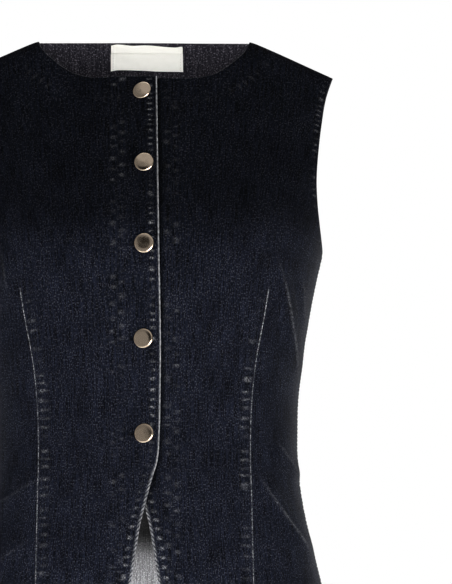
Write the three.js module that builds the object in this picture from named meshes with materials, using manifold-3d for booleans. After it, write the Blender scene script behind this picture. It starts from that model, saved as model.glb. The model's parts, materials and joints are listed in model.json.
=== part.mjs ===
// A sleeveless denim vest with a round neck, five shank buttons and open-ended waist darts, filled out as
// when it is worn and hollow inside. Millimetres, +Z up. The front faces -Y and the wearer's left is +X.
// The origin lies midway between the neck ends of the two shoulder seams, where the shoulders carry the vest.
import * as THREE from "three";
import { mergeVertices } from "three/addons/utils/BufferGeometryUtils.js";
import Module from "manifold-3d";

const wasm = await Module();
wasm.setup();

// Cloth
const singleCloth = 1.3; // one layer of denim
const foldedCloth = 2.4; // placket, hem and faced edges, where the cloth is double
const labelCloth = 1.0;
const seamGap = 0.3; // between pieces that are sewn together or lie on each other

// Shoulders and neck
const neckEnd = 97; // from the centre to the neck end of the shoulder seam
const armEnd = 173.5; // from the centre to the arm end of the shoulder seam
const shoulderSlope = 0.455; // fall of the shoulder line for each millimetre outwards
const neckEndSoftness = 4; // how gently the shoulder line bends at its neck end
const softening = 0.5; // how much gentler that bend gets for each millimetre down, once well below
const softeningStart = 30; // about where below the shoulder line that begins
const shoulderFade = 170; // how far down the cloth the shoulder slope still tilts the rows
const napeRise = 65; // how far the centre back would stand above the shoulder line's own level
const napeFade = 240;
const neckEcho = 3; // the higher this is, the sooner the rows below the neck edge run level again
const neckTilt = 0.2566; // the back neck edge lies in a plane that rises this much for each millimetre back

// Rows that all panels share: row 0 is the hem, 1 the underarm level and 2 the neck and shoulder line
const hemHeight = -550;
const underarmHeight = -198;
const hemRow = 0.06;
const lowerRows = 17;
const upperRows = [1.07, 1.17, 1.29, 1.41, 1.53, 1.63, 1.71];
const neckRows = { facingFoot: 1.788, labelFoot: 1.875, labelMiddle: 1.935, labelHead: 1.993, edge: 2 };

// Closing
const frontNeckHeight = -42.5;
const overlapRest = 3; // how far past the under front's edge the upper front still lies flat on it
const overlapEase = 38; // and over what width it then comes down to the level of the rest
const vTop = -430; // below this height the fronts part
const vEase = 90;
const vSettle = 0.7; // share of the overlap's lift that is gone this far below
const buttonStart = -60.5; // height of the first button
const buttonSpacing = 81.3; // along the cloth
const button = { count: 5, radius: 8.6, thickness: 2.2, rim: 0.5, shankRadius: 1.6, stand: 0.8, sides: 22 };
const buttonhole = { length: 14.6, width: 3.8, pastShank: 2.4, cutDepth: 8, arcSides: 5 };
const buttonTilts = [
  { turnAcross: 2.0, turnAlong: 1.0 },
  { turnAcross: -1.5, turnAlong: 1.5 },
  { turnAcross: 1.0, turnAlong: -1.5 },
  { turnAcross: -1.0, turnAlong: 1.0 },
  { turnAcross: 1.5, turnAlong: 1.5 },
]; // degrees

// Darts and edges
const dartStep = 0.9; // the side of the dart towards the centre stands this proud of the other
const dartEdge = 1.2; // width of the slope between the two
const dartEase = 26; // width over which the proud side comes down again towards the centre
const frontDartTip = -241;
const backDartTip = -236;
const dartTipLength = 30; // the step dies out over this height below the tip
const edgeFacing = 9; // width of the doubled cloth along the armhole and the side seam
const sharpestMitre = 0.5; // cosine of the sharpest turn that the doubled cloth's inner edge still follows

// The torso that the cloth is filled out to. down is measured from the shoulder line, level is the height
// there, half is half the width, and front and back are the depths at the centre.
const sections = [
  { down: 0, level: 0, half: 205, front: 0, back: 0 },
  { down: 13, level: -2.3, half: 205, front: 12.8, back: 12.8 },
  { down: 27, level: -9.5, half: 204, front: 24, back: 25.5 },
  { down: 43, level: -22, half: 202, front: 32, back: 40 },
  { down: 63, level: -39.6, half: 199, front: 39.5, back: 55 },
  { down: 90, level: -63.5, half: 194, front: 51, back: 66 },
  { down: 130, level: -99.5, half: 185, front: 70.5, back: 79 },
  { down: 170, level: -136, half: 176, front: 90, back: 89 },
  { down: 210, level: -173.5, half: 167.5, front: 107.5, back: 96 },
  { down: 235, level: -198, half: 161.9, front: 116, back: 98 },
  { down: 270, level: -232, half: 154.2, front: 121.5, back: 97 },
  { down: 321, level: -283, half: 144.5, front: 118.5, back: 87 },
  { down: 369, level: -331, half: 138.4, front: 109.5, back: 74 },
  { down: 396, level: -358, half: 137.2, front: 105, back: 70.5 },
  { down: 430, level: -392, half: 137.3, front: 102.5, back: 72 },
  { down: 466, level: -428, half: 142.1, front: 104, back: 80 },
  { down: 510, level: -471, half: 151.5, front: 107.5, back: 91.5 },
  { down: 590, level: hemHeight, half: 170, front: 113, back: 106 },
];
const sideFullness = 0.25; // 0 would make each section an ellipse
const bust = { across: 86, height: -226, rise: 9, width: 42, length: 50 };

// Soft folds: ridges from one place to another, read from the centre line outwards, the same on both sides
const foldEase = 0.4; // share of a fold's length over which it rises at each end
const frontFolds = [
  { across: 117, height: -218, acrossEnd: 136, heightEnd: -316, rise: 3.2, width: 9 },
  { across: 139, height: -230, acrossEnd: 141, heightEnd: -274, rise: 1.8, width: 6 },
  { across: 118, height: -376, acrossEnd: 136, heightEnd: -401, rise: 2.2, width: 8 },
  { across: 99, height: -407, acrossEnd: 148, heightEnd: -473, rise: 3.0, width: 10 },
];
const backFolds = [
  { across: 84, height: -318, acrossEnd: 134, heightEnd: -352, rise: 2.4, width: 10 },
  { across: 92, height: -404, acrossEnd: 142, heightEnd: -430, rise: 2.4, width: 10 },
  { across: 70, height: -446, acrossEnd: 120, heightEnd: -500, rise: 2.0, width: 12 },
];

// Guides run up the panels. across is the distance from the centre line, below zero past it.
const frontEdgeGuide = [
  { height: hemHeight, across: 25 },
  { height: -496, across: 13.8 },
  { height: -449, across: 4.6 },
  { height: -428, across: 0 },
  { height: -409, across: -5.8 },
  { height: -391, across: -11 },
  { height: -371, across: -12.6 },
  { height: -340, across: -13.4 },
  { height: -288, across: -13.8 },
  { height: -204, across: -12.6 },
  { height: -42.5, across: -11.3 },
];
const placketGuide = [
  { height: hemHeight, across: 36 },
  { height: -496, across: 29 },
  { height: -428, across: 27.5 },
  { height: -42.5, across: 27.5 },
];
const frontMiddleGuide = [
  { height: hemHeight, across: 79 },
  { height: -428, across: 64 },
  { height: -347, across: 61 },
  { height: -198, across: 80 },
  { height: -110, across: 103 },
  { height: -75, across: 111 },
  { height: -46, across: 114.5 },
  { height: -30, across: 114 },
  { height: -16, across: 111 },
  { height: -6.3, across: 105.5 },
  { height: 0, across: neckEnd },
];
const frontDartGuide = [
  { height: hemHeight, across: 93 },
  { height: -495, across: 92.2 },
  { height: -427, across: 91.4 },
  { height: -391, across: 90.8 },
  { height: -357, across: 91.2 },
  { height: -328, across: 93 },
  { height: -303, across: 96 },
  { height: -264, across: 103.4 },
  { height: -243, across: 107 },
  { height: -198, across: 113.5 },
  { height: -117, across: 127 },
  { height: -21, across: 145 },
];
const labelGuide = [
  { height: hemHeight, across: 37 },
  { height: -198, across: 35 },
  { height: 13, across: 35 },
];
const centreBackGuide = [
  { height: hemHeight, across: 0 },
  { height: 14, across: 0 },
];
const backMiddleGuide = [
  { height: hemHeight, across: 64 },
  { height: -347, across: 58 },
  { height: -198, across: 74 },
  { height: -110, across: 99 },
  { height: -75, across: 108 },
  { height: -46, across: 113 },
  { height: -30, across: 113 },
  { height: -16, across: 110 },
  { height: -6.3, across: 105 },
  { height: 0, across: neckEnd },
];
const backDartGuide = [
  { height: hemHeight, across: 84 },
  { height: -428, across: 79 },
  { height: -347, across: 78 },
  { height: -263, across: 86 },
  { height: -198, across: 98 },
  { height: -117, across: 122 },
  { height: -21, across: 145 },
];
const frontArmhole = [
  { row: 1, across: 161.9, height: underarmHeight },
  { row: 1.07, across: 161.2, height: -196.3 },
  { row: 1.16, across: 159.4, height: -190 },
  { row: 1.26, across: 157, height: -178 },
  { row: 1.38, across: 154.8, height: -160 },
  { row: 1.5, across: 154.2, height: -138 },
  { row: 1.64, across: 156.7, height: -110 },
  { row: 1.77, across: 160.6, height: -83 },
  { row: 1.89, across: 165.4, height: -58.5 },
  { row: 2, across: armEnd, height: -34 },
];
const backArmhole = [
  { row: 1, across: 161.9, height: underarmHeight },
  { row: 1.07, across: 161.3, height: -196 },
  { row: 1.16, across: 160.3, height: -189 },
  { row: 1.26, across: 159, height: -176 },
  { row: 1.5, across: 157, height: -134 },
  { row: 1.7, across: 159.4, height: -95 },
  { row: 1.86, across: 164, height: -62 },
  { row: 2, across: armEnd, height: -34 },
];
const frontNeck = [
  { across: -20, height: frontNeckHeight },
  { across: 27.5, height: frontNeckHeight },
  { across: 45, height: -42.2 },
  { across: 63, height: -37.6 },
  { across: 75, height: -29.6 },
  { across: 85.6, height: -20 },
  { across: 93, height: -11 },
  { across: neckEnd, height: 0 },
];

// Fineness of the search and of the slopes
const halvings = 40;
const neckSamples = 60;
const turnStep = 0.001;
const downStep = 0.1;

const smoothStep = (value) => {
  const t = Math.min(Math.max(value, 0), 1);
  return t * t * (3 - 2 * t);
};
const hump = (distance, width) => Math.exp(-((distance / width) ** 2));
const between = (a, b, share) => a + (b - a) * share;

// A smooth curve through the rows of a table, read along the column named by
function curveThrough(table, by) {
  const columns = Object.keys(table[0]).filter((name) => name !== by);
  const slope = (name, k) => {
    const before = table[Math.max(k - 1, 0)];
    const after = table[Math.min(k + 1, table.length - 1)];
    return (after[name] - before[name]) / (after[by] - before[by]);
  };
  return (at) => {
    const past = table.findIndex((row) => row[by] > at);
    const k = past < 0 ? table.length - 2 : Math.max(past - 1, 0);
    const [a, b] = [table[k], table[k + 1]];
    const span = b[by] - a[by];
    const t = Math.min(Math.max((at - a[by]) / span, 0), 1);
    const read = (name) => {
      const bend = slope(name, k) * (1 - t) - slope(name, k + 1) * t;
      return a[name] + (b[name] - a[name]) * smoothStep(t) + t * (1 - t) * span * bend;
    };
    return Object.fromEntries(columns.map((name) => [name, read(name)]));
  };
}

// The shoulder is round, so the sections go on in mirror image past the shoulder line
const { down, front, back: behind } = sections[1];
const overShoulder = { ...sections[1], down: -down, front: -front, back: -behind };
const sectionAt = curveThrough([overShoulder, ...sections], "down");
const deepest = sections.at(-1).down;

// How far the shoulder line has fallen at a distance from the centre
function shoulderFall(across, down) {
  const outwards = Math.abs(across) - neckEnd;
  const softness = neckEndSoftness + (softening * down ** 2) / (Math.abs(down) + softeningStart);
  return (shoulderSlope * (outwards + Math.hypot(outwards, softness) - softness)) / 2;
}

// A place on the torso. turn runs from 0 at the centre front or back to a quarter turn at the side seam.
function torsoPoint(isBack, { turn, down }) {
  const section = sectionAt(down);
  const across = section.half * Math.sin(turn);
  const roundness = Math.cos(turn) * (1 + sideFullness * Math.sin(turn) ** 2);
  const fade = 1 - smoothStep(Math.abs(down) / shoulderFade);
  const inNeck = isBack ? Math.max(1 - (across / neckEnd) ** 2, 0) : 0;
  const nape = napeRise * inNeck * (1 - smoothStep(down / napeFade));
  const height = section.level + nape - fade * shoulderFall(across, down);
  const cup = hump(Math.abs(across) - bust.across, bust.width) * hump(height - bust.height, bust.length);
  const front = section.front * roundness + bust.rise * cup * Math.cos(turn);
  return new THREE.Vector3(across, isBack ? section.back * roundness : -front, height);
}

function outwardNormal(isBack, { turn, down }) {
  const across = torsoPoint(isBack, { turn: turn + turnStep, down });
  across.sub(torsoPoint(isBack, { turn: turn - turnStep, down }));
  const along = torsoPoint(isBack, { turn, down: down + downStep });
  along.sub(torsoPoint(isBack, { turn, down: down - downStep }));
  const normal = along.cross(across).normalize();
  return isBack ? normal.negate() : normal;
}

// The place, at a distance from the centre, where a value that falls on the way down passes zero
function placeWhere(across, value) {
  const turnAt = (down) => Math.asin(Math.min(Math.max(across / sectionAt(down).half, -1), 1));
  let [above, below] = [0, deepest];
  for (let halving = 0; halving < halvings; halving++) {
    const down = (above + below) / 2;
    if (value({ turn: turnAt(down), down }) > 0) above = down;
    else below = down;
  }
  return { turn: turnAt(above), down: above };
}
const placeAt = (isBack, across, height) =>
  placeWhere(across, (place) => torsoPoint(isBack, place).z - height);

// A place moved over the torso, sideways and down, by distances in millimetres
function millimetresPerTurn(isBack, { turn, down }) {
  const [here, next] = [turn, turn + turnStep].map((at) => torsoPoint(isBack, { turn: at, down }));
  return next.distanceTo(here) / turnStep;
}
function movedOver(isBack, place, across, down = 0) {
  return { turn: place.turn + across / millimetresPerTurn(isBack, place), down: place.down + down };
}

// Where a panel meets its neighbour at the shoulder and at the side, half a seam gap short of the line
const atShoulder = (across) => ({ turn: Math.asin(across / sectionAt(0).half), down: seamGap / 2 });
function atSide(isBack, down) {
  return movedOver(isBack, { turn: Math.PI / 2, down }, -seamGap / 2);
}

// The neck edge at a distance from the centre
const frontNeckCurve = curveThrough(frontNeck, "across");
function neckPlace(isBack, across) {
  if (across >= neckEnd) return atShoulder(across);
  if (!isBack) return placeAt(false, across, frontNeckCurve(across).height);
  return placeWhere(across, (place) => {
    const point = torsoPoint(true, place);
    return point.z - neckTilt * point.y;
  });
}

// Places at equal distances along the neck edge
function alongNeck(isBack, from, to, cells) {
  const shares = Array.from({ length: neckSamples + 1 }, (_, k) => k / neckSamples);
  const samples = shares.map((share) => neckPlace(isBack, between(from, to, share)));
  const lengths = [0];
  samples.slice(1).forEach((place, k) => {
    const step = torsoPoint(isBack, place).distanceTo(torsoPoint(isBack, samples[k]));
    lengths.push(lengths[k] + step);
  });
  return Array.from({ length: cells + 1 }, (_, k) => {
    const wanted = (lengths.at(-1) * k) / cells;
    const next = Math.max(lengths.findIndex((length) => length >= wanted), 1);
    const share = (wanted - lengths[next - 1]) / (lengths[next] - lengths[next - 1]);
    const [a, b] = [samples[next - 1], samples[next]];
    return { turn: between(a.turn, b.turn, share), down: between(a.down, b.down, share) };
  });
}

// The row lines from the hem up to the neck and shoulder line
const rows = [0, hemRow];
for (let k = 1; k <= lowerRows; k++) rows.push(between(hemRow, 1, k / lowerRows));
rows.push(...upperRows, ...Object.values(neckRows));
const top = rows.length - 1;
const rowOf = (name) => rows.indexOf(neckRows[name]);
const rowHeight = (row, topHeight) =>
  row <= 1 ? between(hemHeight, underarmHeight, row) : between(underarmHeight, topHeight, row - 1);

// A guide as a place on each row line, ending on the neck edge or on the shoulder line
function guideLine(isBack, table) {
  const curve = curveThrough(table, "height");
  const edge = neckPlace(isBack, table.at(-1).across);
  const topHeight = torsoPoint(isBack, edge).z;
  return rows.map((row) => {
    const height = rowHeight(row, topHeight);
    return row === neckRows.edge ? edge : placeAt(isBack, curve(height).across, height);
  });
}

// The side seam and then the armhole, as a place on each row line
function sideLine(isBack, armhole) {
  const curve = curveThrough(armhole, "row");
  return rows.map((row) => {
    if (row <= 1) return atSide(isBack, placeAt(isBack, 0, rowHeight(row)).down);
    if (row === neckRows.edge) return atShoulder(armEnd);
    const { across, height } = curve(row);
    return placeAt(isBack, across, height);
  });
}

// The line that runs inside the side seam and the armhole at a constant distance
function insideSideLine(isBack, line, distance) {
  const inwards = line.slice(1).map((place, k) => {
    const across = (place.turn - line[k].turn) * millimetresPerTurn(isBack, place);
    return new THREE.Vector2(place.down - line[k].down, -across).normalize();
  });
  return line.map((place, j) => {
    if (j === 0 || j === top) return movedOver(isBack, place, -distance);
    const mean = inwards[j - 1].clone().add(inwards[j]).normalize();
    const mitre = distance / Math.max(mean.dot(inwards[j]), sharpestMitre);
    return movedOver(isBack, place, mean.x * mitre, mean.y * mitre);
  });
}

// The places of half a panel on a grid. guides are in order from the centre, each with the number of cells
// from the one before. The rows above the underarm bend more and more like the neck edge.
function halfPanel(isBack, guides) {
  const places = [guides[0].line];
  guides.slice(1).forEach(({ line, cells }, g) => {
    const before = guides[g].line;
    const [from, to] = [before, line].map((side) => torsoPoint(isBack, side[top]).x);
    const edges = alongNeck(isBack, from, to, cells);
    for (let k = 1; k <= cells; k++) {
      const share = k / cells;
      const edge = edges[k];
      const mixed = rows.map((row, j) => ({
        turn: between(before[j].turn, line[j].turn, share),
        down: between(before[j].down, line[j].down, share),
      }));
      const bend = { turn: edge.turn - mixed[top].turn, down: edge.down - mixed[top].down };
      const grown = mixed.map(({ turn, down }, j) => {
        const weight = k === cells ? 0 : Math.max(rows[j] - 1, 0) ** neckEcho;
        return { turn: turn + bend.turn * weight, down: down + bend.down * weight };
      });
      places.push(grown);
    }
  });
  return places;
}

// How far the folds raise the cloth at a distance from the centre and a height
function foldRise(folds, across, height) {
  return folds.reduce((sum, fold) => {
    const [runAcross, runDown] = [fold.acrossEnd - fold.across, fold.heightEnd - fold.height];
    const length = Math.hypot(runAcross, runDown);
    const along = ((across - fold.across) * runAcross + (height - fold.height) * runDown) / length;
    const aside = ((across - fold.across) * runDown - (height - fold.height) * runAcross) / length;
    const ease = length * foldEase;
    const ends = smoothStep((along + fold.width) / ease) * smoothStep((length + fold.width - along) / ease);
    return sum + fold.rise * ends * hump(aside, fold.width);
  }, 0);
}

// How far the upper front is lifted to lie over the under one
const frontEdgeCurve = curveThrough(frontEdgeGuide, "height");
function overlapLift(across, height) {
  const underEdge = -frontEdgeCurve(Math.min(Math.max(height, vTop), frontNeckHeight)).across;
  const flat = 1 - smoothStep((across - underEdge - overlapRest) / overlapEase);
  const closed = 1 - vSettle * smoothStep((vTop - height) / vEase);
  return (seamGap + foldedCloth) * flat * closed;
}

// A closed wall on a grid of outer and inner points. turnedOver is for a grid that runs left to right as
// seen from inside the garment.
function wallGeometry(grid, turnedOver) {
  const [columnCount, rowCount] = [grid.length - 1, grid[0].length - 1];
  const points = grid.flat().flatMap(({ outer, inner }) => [...outer, ...inner]);
  const index = [];
  const corner = (i, j, side) => (i * (rowCount + 1) + j) * 2 + side;
  const quad = (a, b, c, d) => index.push(...(turnedOver ? [a, c, b, a, d, c] : [a, b, c, a, c, d]));
  const [outer, inner] = [0, 1];
  for (let i = 0; i < columnCount; i++)
    for (let j = 0; j < rowCount; j++) {
      const [here, next] = [corner(i, j, outer), corner(i + 1, j, outer)];
      const [above, aboveNext] = [corner(i, j + 1, outer), corner(i + 1, j + 1, outer)];
      quad(here, next, aboveNext, above);
      quad(here + inner, above + inner, aboveNext + inner, next + inner);
    }
  for (let i = 0; i < columnCount; i++) {
    quad(corner(i, 0, outer), corner(i, 0, inner), corner(i + 1, 0, inner), corner(i + 1, 0, outer));
    const [here, next] = [corner(i, rowCount, outer), corner(i + 1, rowCount, outer)];
    quad(here, next, next + 1, here + 1);
  }
  for (let j = 0; j < rowCount; j++) {
    quad(corner(0, j, outer), corner(0, j + 1, outer), corner(0, j + 1, inner), corner(0, j, inner));
    const [here, next] = [corner(columnCount, j, outer), corner(columnCount, j + 1, outer)];
    quad(here, here + 1, next + 1, next);
  }
  const geometry = new THREE.BufferGeometry();
  geometry.setAttribute("position", new THREE.Float32BufferAttribute(points, 3));
  geometry.setIndex(index);
  return geometry;
}

// A panel's outer and inner point at a place: cloth of a thickness, lifted off the torso
function clothAt(isBack, place, lift, thickness) {
  const point = torsoPoint(isBack, place);
  const normal = outwardNormal(isBack, place);
  const outer = point.clone().addScaledVector(normal, lift);
  const inner = point.clone().addScaledVector(normal, lift - thickness);
  return { outer, inner, normal };
}

// The raised side of a dart: full at the dart itself and level again a little way towards the centre
function dartRise(inwards, height, tip) {
  if (inwards < 0) return 0;
  return dartStep * (1 - smoothStep(inwards / dartEase)) * smoothStep((tip - height) / dartTipLength);
}

const frontDartLine = guideLine(false, frontDartGuide);
const frontSideLine = sideLine(false, frontArmhole);
const frontGuides = [
  { line: guideLine(false, frontEdgeGuide) },
  { line: guideLine(false, placketGuide), cells: 4 },
  { line: guideLine(false, frontMiddleGuide), cells: 8 },
  { line: frontDartLine, cells: 3 },
  { line: frontDartLine.map((place) => movedOver(false, place, dartEdge)), cells: 1 },
  { line: insideSideLine(false, frontSideLine, edgeFacing), cells: 5 },
  { line: frontSideLine, cells: 1 },
];
const backDartLine = guideLine(true, backDartGuide);
const backSideLine = sideLine(true, backArmhole);
const backGuides = [
  { line: guideLine(true, centreBackGuide) },
  { line: guideLine(true, labelGuide), cells: 3 },
  { line: guideLine(true, backMiddleGuide), cells: 6 },
  { line: backDartLine, cells: 3 },
  { line: backDartLine.map((place) => movedOver(true, place, dartEdge)), cells: 1 },
  { line: insideSideLine(true, backSideLine, edgeFacing), cells: 4 },
  { line: backSideLine, cells: 1 },
];
const cellsBefore = (guides, count) => guides.slice(1, count).reduce((sum, { cells }) => sum + cells, 0);
const placketColumn = cellsBefore(frontGuides, 2);
const frontDartColumn = cellsBefore(frontGuides, 4);
const labelColumn = cellsBefore(backGuides, 2);
const backDartColumn = cellsBefore(backGuides, 4);
const isEdgeRow = (j) => rows[j] <= hemRow || j >= rowOf("labelFoot");

// One front, as the wearer's left one, with its cloth for each grid place
function frontGrid(isUpper) {
  const places = halfPanel(false, frontGuides);
  return places.map((column, i) =>
    column.map((place, j) => {
      const { x, z } = torsoPoint(false, place);
      const isDouble = i <= placketColumn || i >= places.length - 2 || isEdgeRow(j);
      const fromDart = torsoPoint(false, places[frontDartColumn][j]).x - x;
      const lift = dartRise(fromDart, z, frontDartTip) + foldRise(frontFolds, x, z);
      const lap = isUpper ? overlapLift(x, z) : 0;
      return clothAt(false, place, lift + lap, isDouble ? foldedCloth : singleCloth);
    }),
  );
}

function backGrid() {
  const places = halfPanel(true, backGuides);
  const half = places.map((column, i) =>
    column.map((place, j) => {
      const { x, z } = torsoPoint(true, place);
      const isDouble = i >= places.length - 2 || rows[j] <= hemRow;
      const fromDart = torsoPoint(true, places[backDartColumn][j]).x - x;
      const lift = dartRise(fromDart, z, backDartTip) + foldRise(backFolds, x, z);
      return clothAt(true, place, lift, isDouble ? foldedCloth : singleCloth);
    }),
  );
  return [...half.slice(1).reverse().map(mirroredColumn), ...half];
}

const mirrored = (vector) => new THREE.Vector3(-vector.x, vector.y, vector.z);
function mirroredColumn(column) {
  return column.map(({ outer, inner, normal }) => ({
    outer: mirrored(outer),
    inner: mirrored(inner),
    normal: mirrored(normal),
  }));
}

// A piece that lies inside another one, made from that one's grid
function layerInside(grid, thickness) {
  return grid.map((column) =>
    column.map(({ inner, normal }) => ({
      outer: inner.clone().addScaledVector(normal, -seamGap),
      inner: inner.clone().addScaledVector(normal, -seamGap - thickness),
      normal,
    })),
  );
}

// Solids with a cut
function toManifold(geometry) {
  const bare = geometry.index ? geometry.toNonIndexed() : geometry.clone();
  bare.deleteAttribute("normal");
  bare.deleteAttribute("uv");
  const merged = mergeVertices(bare);
  const vertProperties = new Float32Array(merged.attributes.position.array);
  const triVerts = new Uint32Array(merged.index.array);
  return new wasm.Manifold(new wasm.Mesh({ numProp: 3, vertProperties, triVerts }));
}

function toGeometry(manifold) {
  const mesh = manifold.getMesh();
  const geometry = new THREE.BufferGeometry();
  geometry.setAttribute("position", new THREE.Float32BufferAttribute(mesh.vertProperties, 3));
  geometry.setIndex(Array.from(mesh.triVerts));
  return geometry;
}

// Buttons sit on the centre line, equal distances apart along the cloth. Z of a frame points outwards.
function buttonFrames() {
  const frames = [];
  const place = placeAt(false, 0, buttonStart);
  let last = torsoPoint(false, place);
  let walked = 0;
  while (frames.length < button.count) {
    if (walked >= frames.length * buttonSpacing) {
      const out = outwardNormal(false, place);
      const across = new THREE.Vector3(1, 0, 0);
      const up = out.clone().cross(across);
      frames.push(new THREE.Matrix4().makeBasis(across, up, out).setPosition(last));
    }
    place.down += downStep;
    const next = torsoPoint(false, place);
    walked += next.distanceTo(last);
    last = next;
  }
  return frames;
}

// A slot with round ends, cut through the upper front from the shank away from the edge
function buttonholeCutter(frame) {
  const radius = buttonhole.width / 2;
  const [start, end] = [buttonhole.pastShank - radius, buttonhole.pastShank - buttonhole.length + radius];
  const slot = new THREE.Shape();
  slot.absarc(start, 0, radius, -Math.PI / 2, Math.PI / 2, false);
  slot.absarc(end, 0, radius, Math.PI / 2, (3 * Math.PI) / 2, false);
  const { cutDepth: depth, arcSides: curveSegments } = buttonhole;
  const cutter = new THREE.ExtrudeGeometry(slot, { depth, bevelEnabled: false, curveSegments });
  cutter.translate(0, 0, -depth / 2 + seamGap + foldedCloth / 2);
  return cutter.applyMatrix4(frame);
}

// A shank button: a flat cap with a rounded rim on a short shank
function buttonGeometry() {
  const { radius, thickness, rim, shankRadius, stand } = button;
  const underCap = seamGap + foldedCloth + stand;
  const profile = [
    [0, seamGap],
    [shankRadius, seamGap],
    [shankRadius, underCap],
    [radius - rim, underCap],
    [radius, underCap + rim],
    [radius, underCap + thickness - rim],
    [radius - rim, underCap + thickness],
    [0, underCap + thickness],
  ];
  const geometry = new THREE.LatheGeometry(profile.map(([x, y]) => new THREE.Vector2(x, y)), button.sides);
  return geometry.rotateX(Math.PI / 2);
}

const denim = { color: 0x14161f, roughness: 0.92, metalness: 0, side: THREE.DoubleSide };
const wrongSide = { ...denim, color: 0x2b2a33 };
const wovenTape = { color: 0xe9e4d3, roughness: 0.8, metalness: 0 };
const paleGold = { color: 0xb09a78, roughness: 0.25, metalness: 1 };
const group = new THREE.Group();
function addPiece(name, geometry, look) {
  const piece = new THREE.Mesh(geometry, new THREE.MeshStandardMaterial(look));
  piece.name = name;
  group.add(piece);
  return piece;
}

const frames = buttonFrames();
const upperFront = frontGrid(true).map(mirroredColumn);
const cutFront = frames.reduce(
  (solid, frame) => solid.subtract(toManifold(buttonholeCutter(frame))),
  toManifold(wallGeometry(upperFront, true)),
);
addPiece("right_front", toGeometry(cutFront), denim);
addPiece("left_front", wallGeometry(frontGrid(false), false), denim);

const back = backGrid();
const middle = (back.length - 1) / 2;
addPiece("back", wallGeometry(back, true), denim);
const facingColumns = back.slice(middle - backDartColumn, middle + backDartColumn + 1);
const facing = layerInside(facingColumns.map((column) => column.slice(rowOf("facingFoot"))), singleCloth);
addPiece("back_neck_facing", wallGeometry(facing, true), wrongSide);
const facingMiddle = (facing.length - 1) / 2;
const labelRows = [rowOf("labelFoot"), rowOf("labelHead") + 1].map((row) => row - rowOf("facingFoot"));
const labelColumns = facing.slice(facingMiddle - labelColumn, facingMiddle + labelColumn + 1);
const label = layerInside(labelColumns.map((column) => column.slice(...labelRows)), labelCloth);
addPiece("label", wallGeometry(label, true), wovenTape);

frames.forEach((frame, k) => {
  const piece = addPiece(`button_${k + 1}`, buttonGeometry(), paleGold);
  const tilt = buttonTilts[k];
  const tilted = frame.clone();
  tilted.multiply(new THREE.Matrix4().makeRotationX(THREE.MathUtils.degToRad(tilt.turnAcross)));
  tilted.multiply(new THREE.Matrix4().makeRotationY(THREE.MathUtils.degToRad(tilt.turnAlong)));
  tilted.decompose(piece.position, piece.quaternion, piece.scale);
});

export default group;
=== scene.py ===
import json
import math

import bmesh
import bpy
import numpy as np
from mathutils import Matrix, Vector

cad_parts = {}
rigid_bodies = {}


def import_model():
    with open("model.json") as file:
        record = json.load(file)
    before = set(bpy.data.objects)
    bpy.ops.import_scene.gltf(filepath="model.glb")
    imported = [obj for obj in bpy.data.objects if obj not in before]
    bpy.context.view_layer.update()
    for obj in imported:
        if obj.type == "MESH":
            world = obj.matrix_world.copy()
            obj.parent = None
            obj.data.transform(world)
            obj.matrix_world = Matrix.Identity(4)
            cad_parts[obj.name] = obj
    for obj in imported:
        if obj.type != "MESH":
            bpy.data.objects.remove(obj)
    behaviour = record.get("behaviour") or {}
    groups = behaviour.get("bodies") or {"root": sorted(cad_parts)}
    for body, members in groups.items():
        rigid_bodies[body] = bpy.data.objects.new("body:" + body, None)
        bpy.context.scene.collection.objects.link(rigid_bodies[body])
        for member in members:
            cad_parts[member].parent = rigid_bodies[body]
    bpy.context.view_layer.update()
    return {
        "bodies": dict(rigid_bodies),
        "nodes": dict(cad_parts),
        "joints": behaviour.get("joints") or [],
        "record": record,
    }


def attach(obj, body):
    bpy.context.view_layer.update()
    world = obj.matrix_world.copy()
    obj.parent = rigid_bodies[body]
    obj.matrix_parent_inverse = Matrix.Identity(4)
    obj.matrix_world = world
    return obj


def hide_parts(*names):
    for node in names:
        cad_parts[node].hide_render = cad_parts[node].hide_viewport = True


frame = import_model()
mm = 0.001


def addObject(name, data):
    made = bpy.data.objects.new(name, data)
    bpy.context.scene.collection.objects.link(made)
    return made


# Camera: at waist height in front of the vest, turned a little to the wearer's left and looking slightly up
photo = {
    "place": (0, -2.0, -0.5133),
    "aim": 0.074,  # how far to the right of the centre it looks, at the vest's distance
    "pitch": 8.0,
    "roll": -0.33,
    "lens": 137,
}


def addCamera():
    data = bpy.data.cameras.new("camera")
    data.lens = photo["lens"]
    camera = addObject("camera", data)
    place = Vector(photo["place"])
    level = Vector((photo["aim"], -place.y, 0)).normalized()
    pitch = math.radians(photo["pitch"])
    forward = level * math.cos(pitch) + Vector((0, 0, math.sin(pitch)))
    right = Matrix.Rotation(-math.radians(photo["roll"]), 3, forward) @ Vector((level.y, -level.x, 0))
    axes = Matrix((right, right.cross(forward), -forward)).transposed()
    camera.matrix_world = Matrix.Translation(place) @ axes.to_4x4()
    bpy.context.scene.camera = camera


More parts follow.
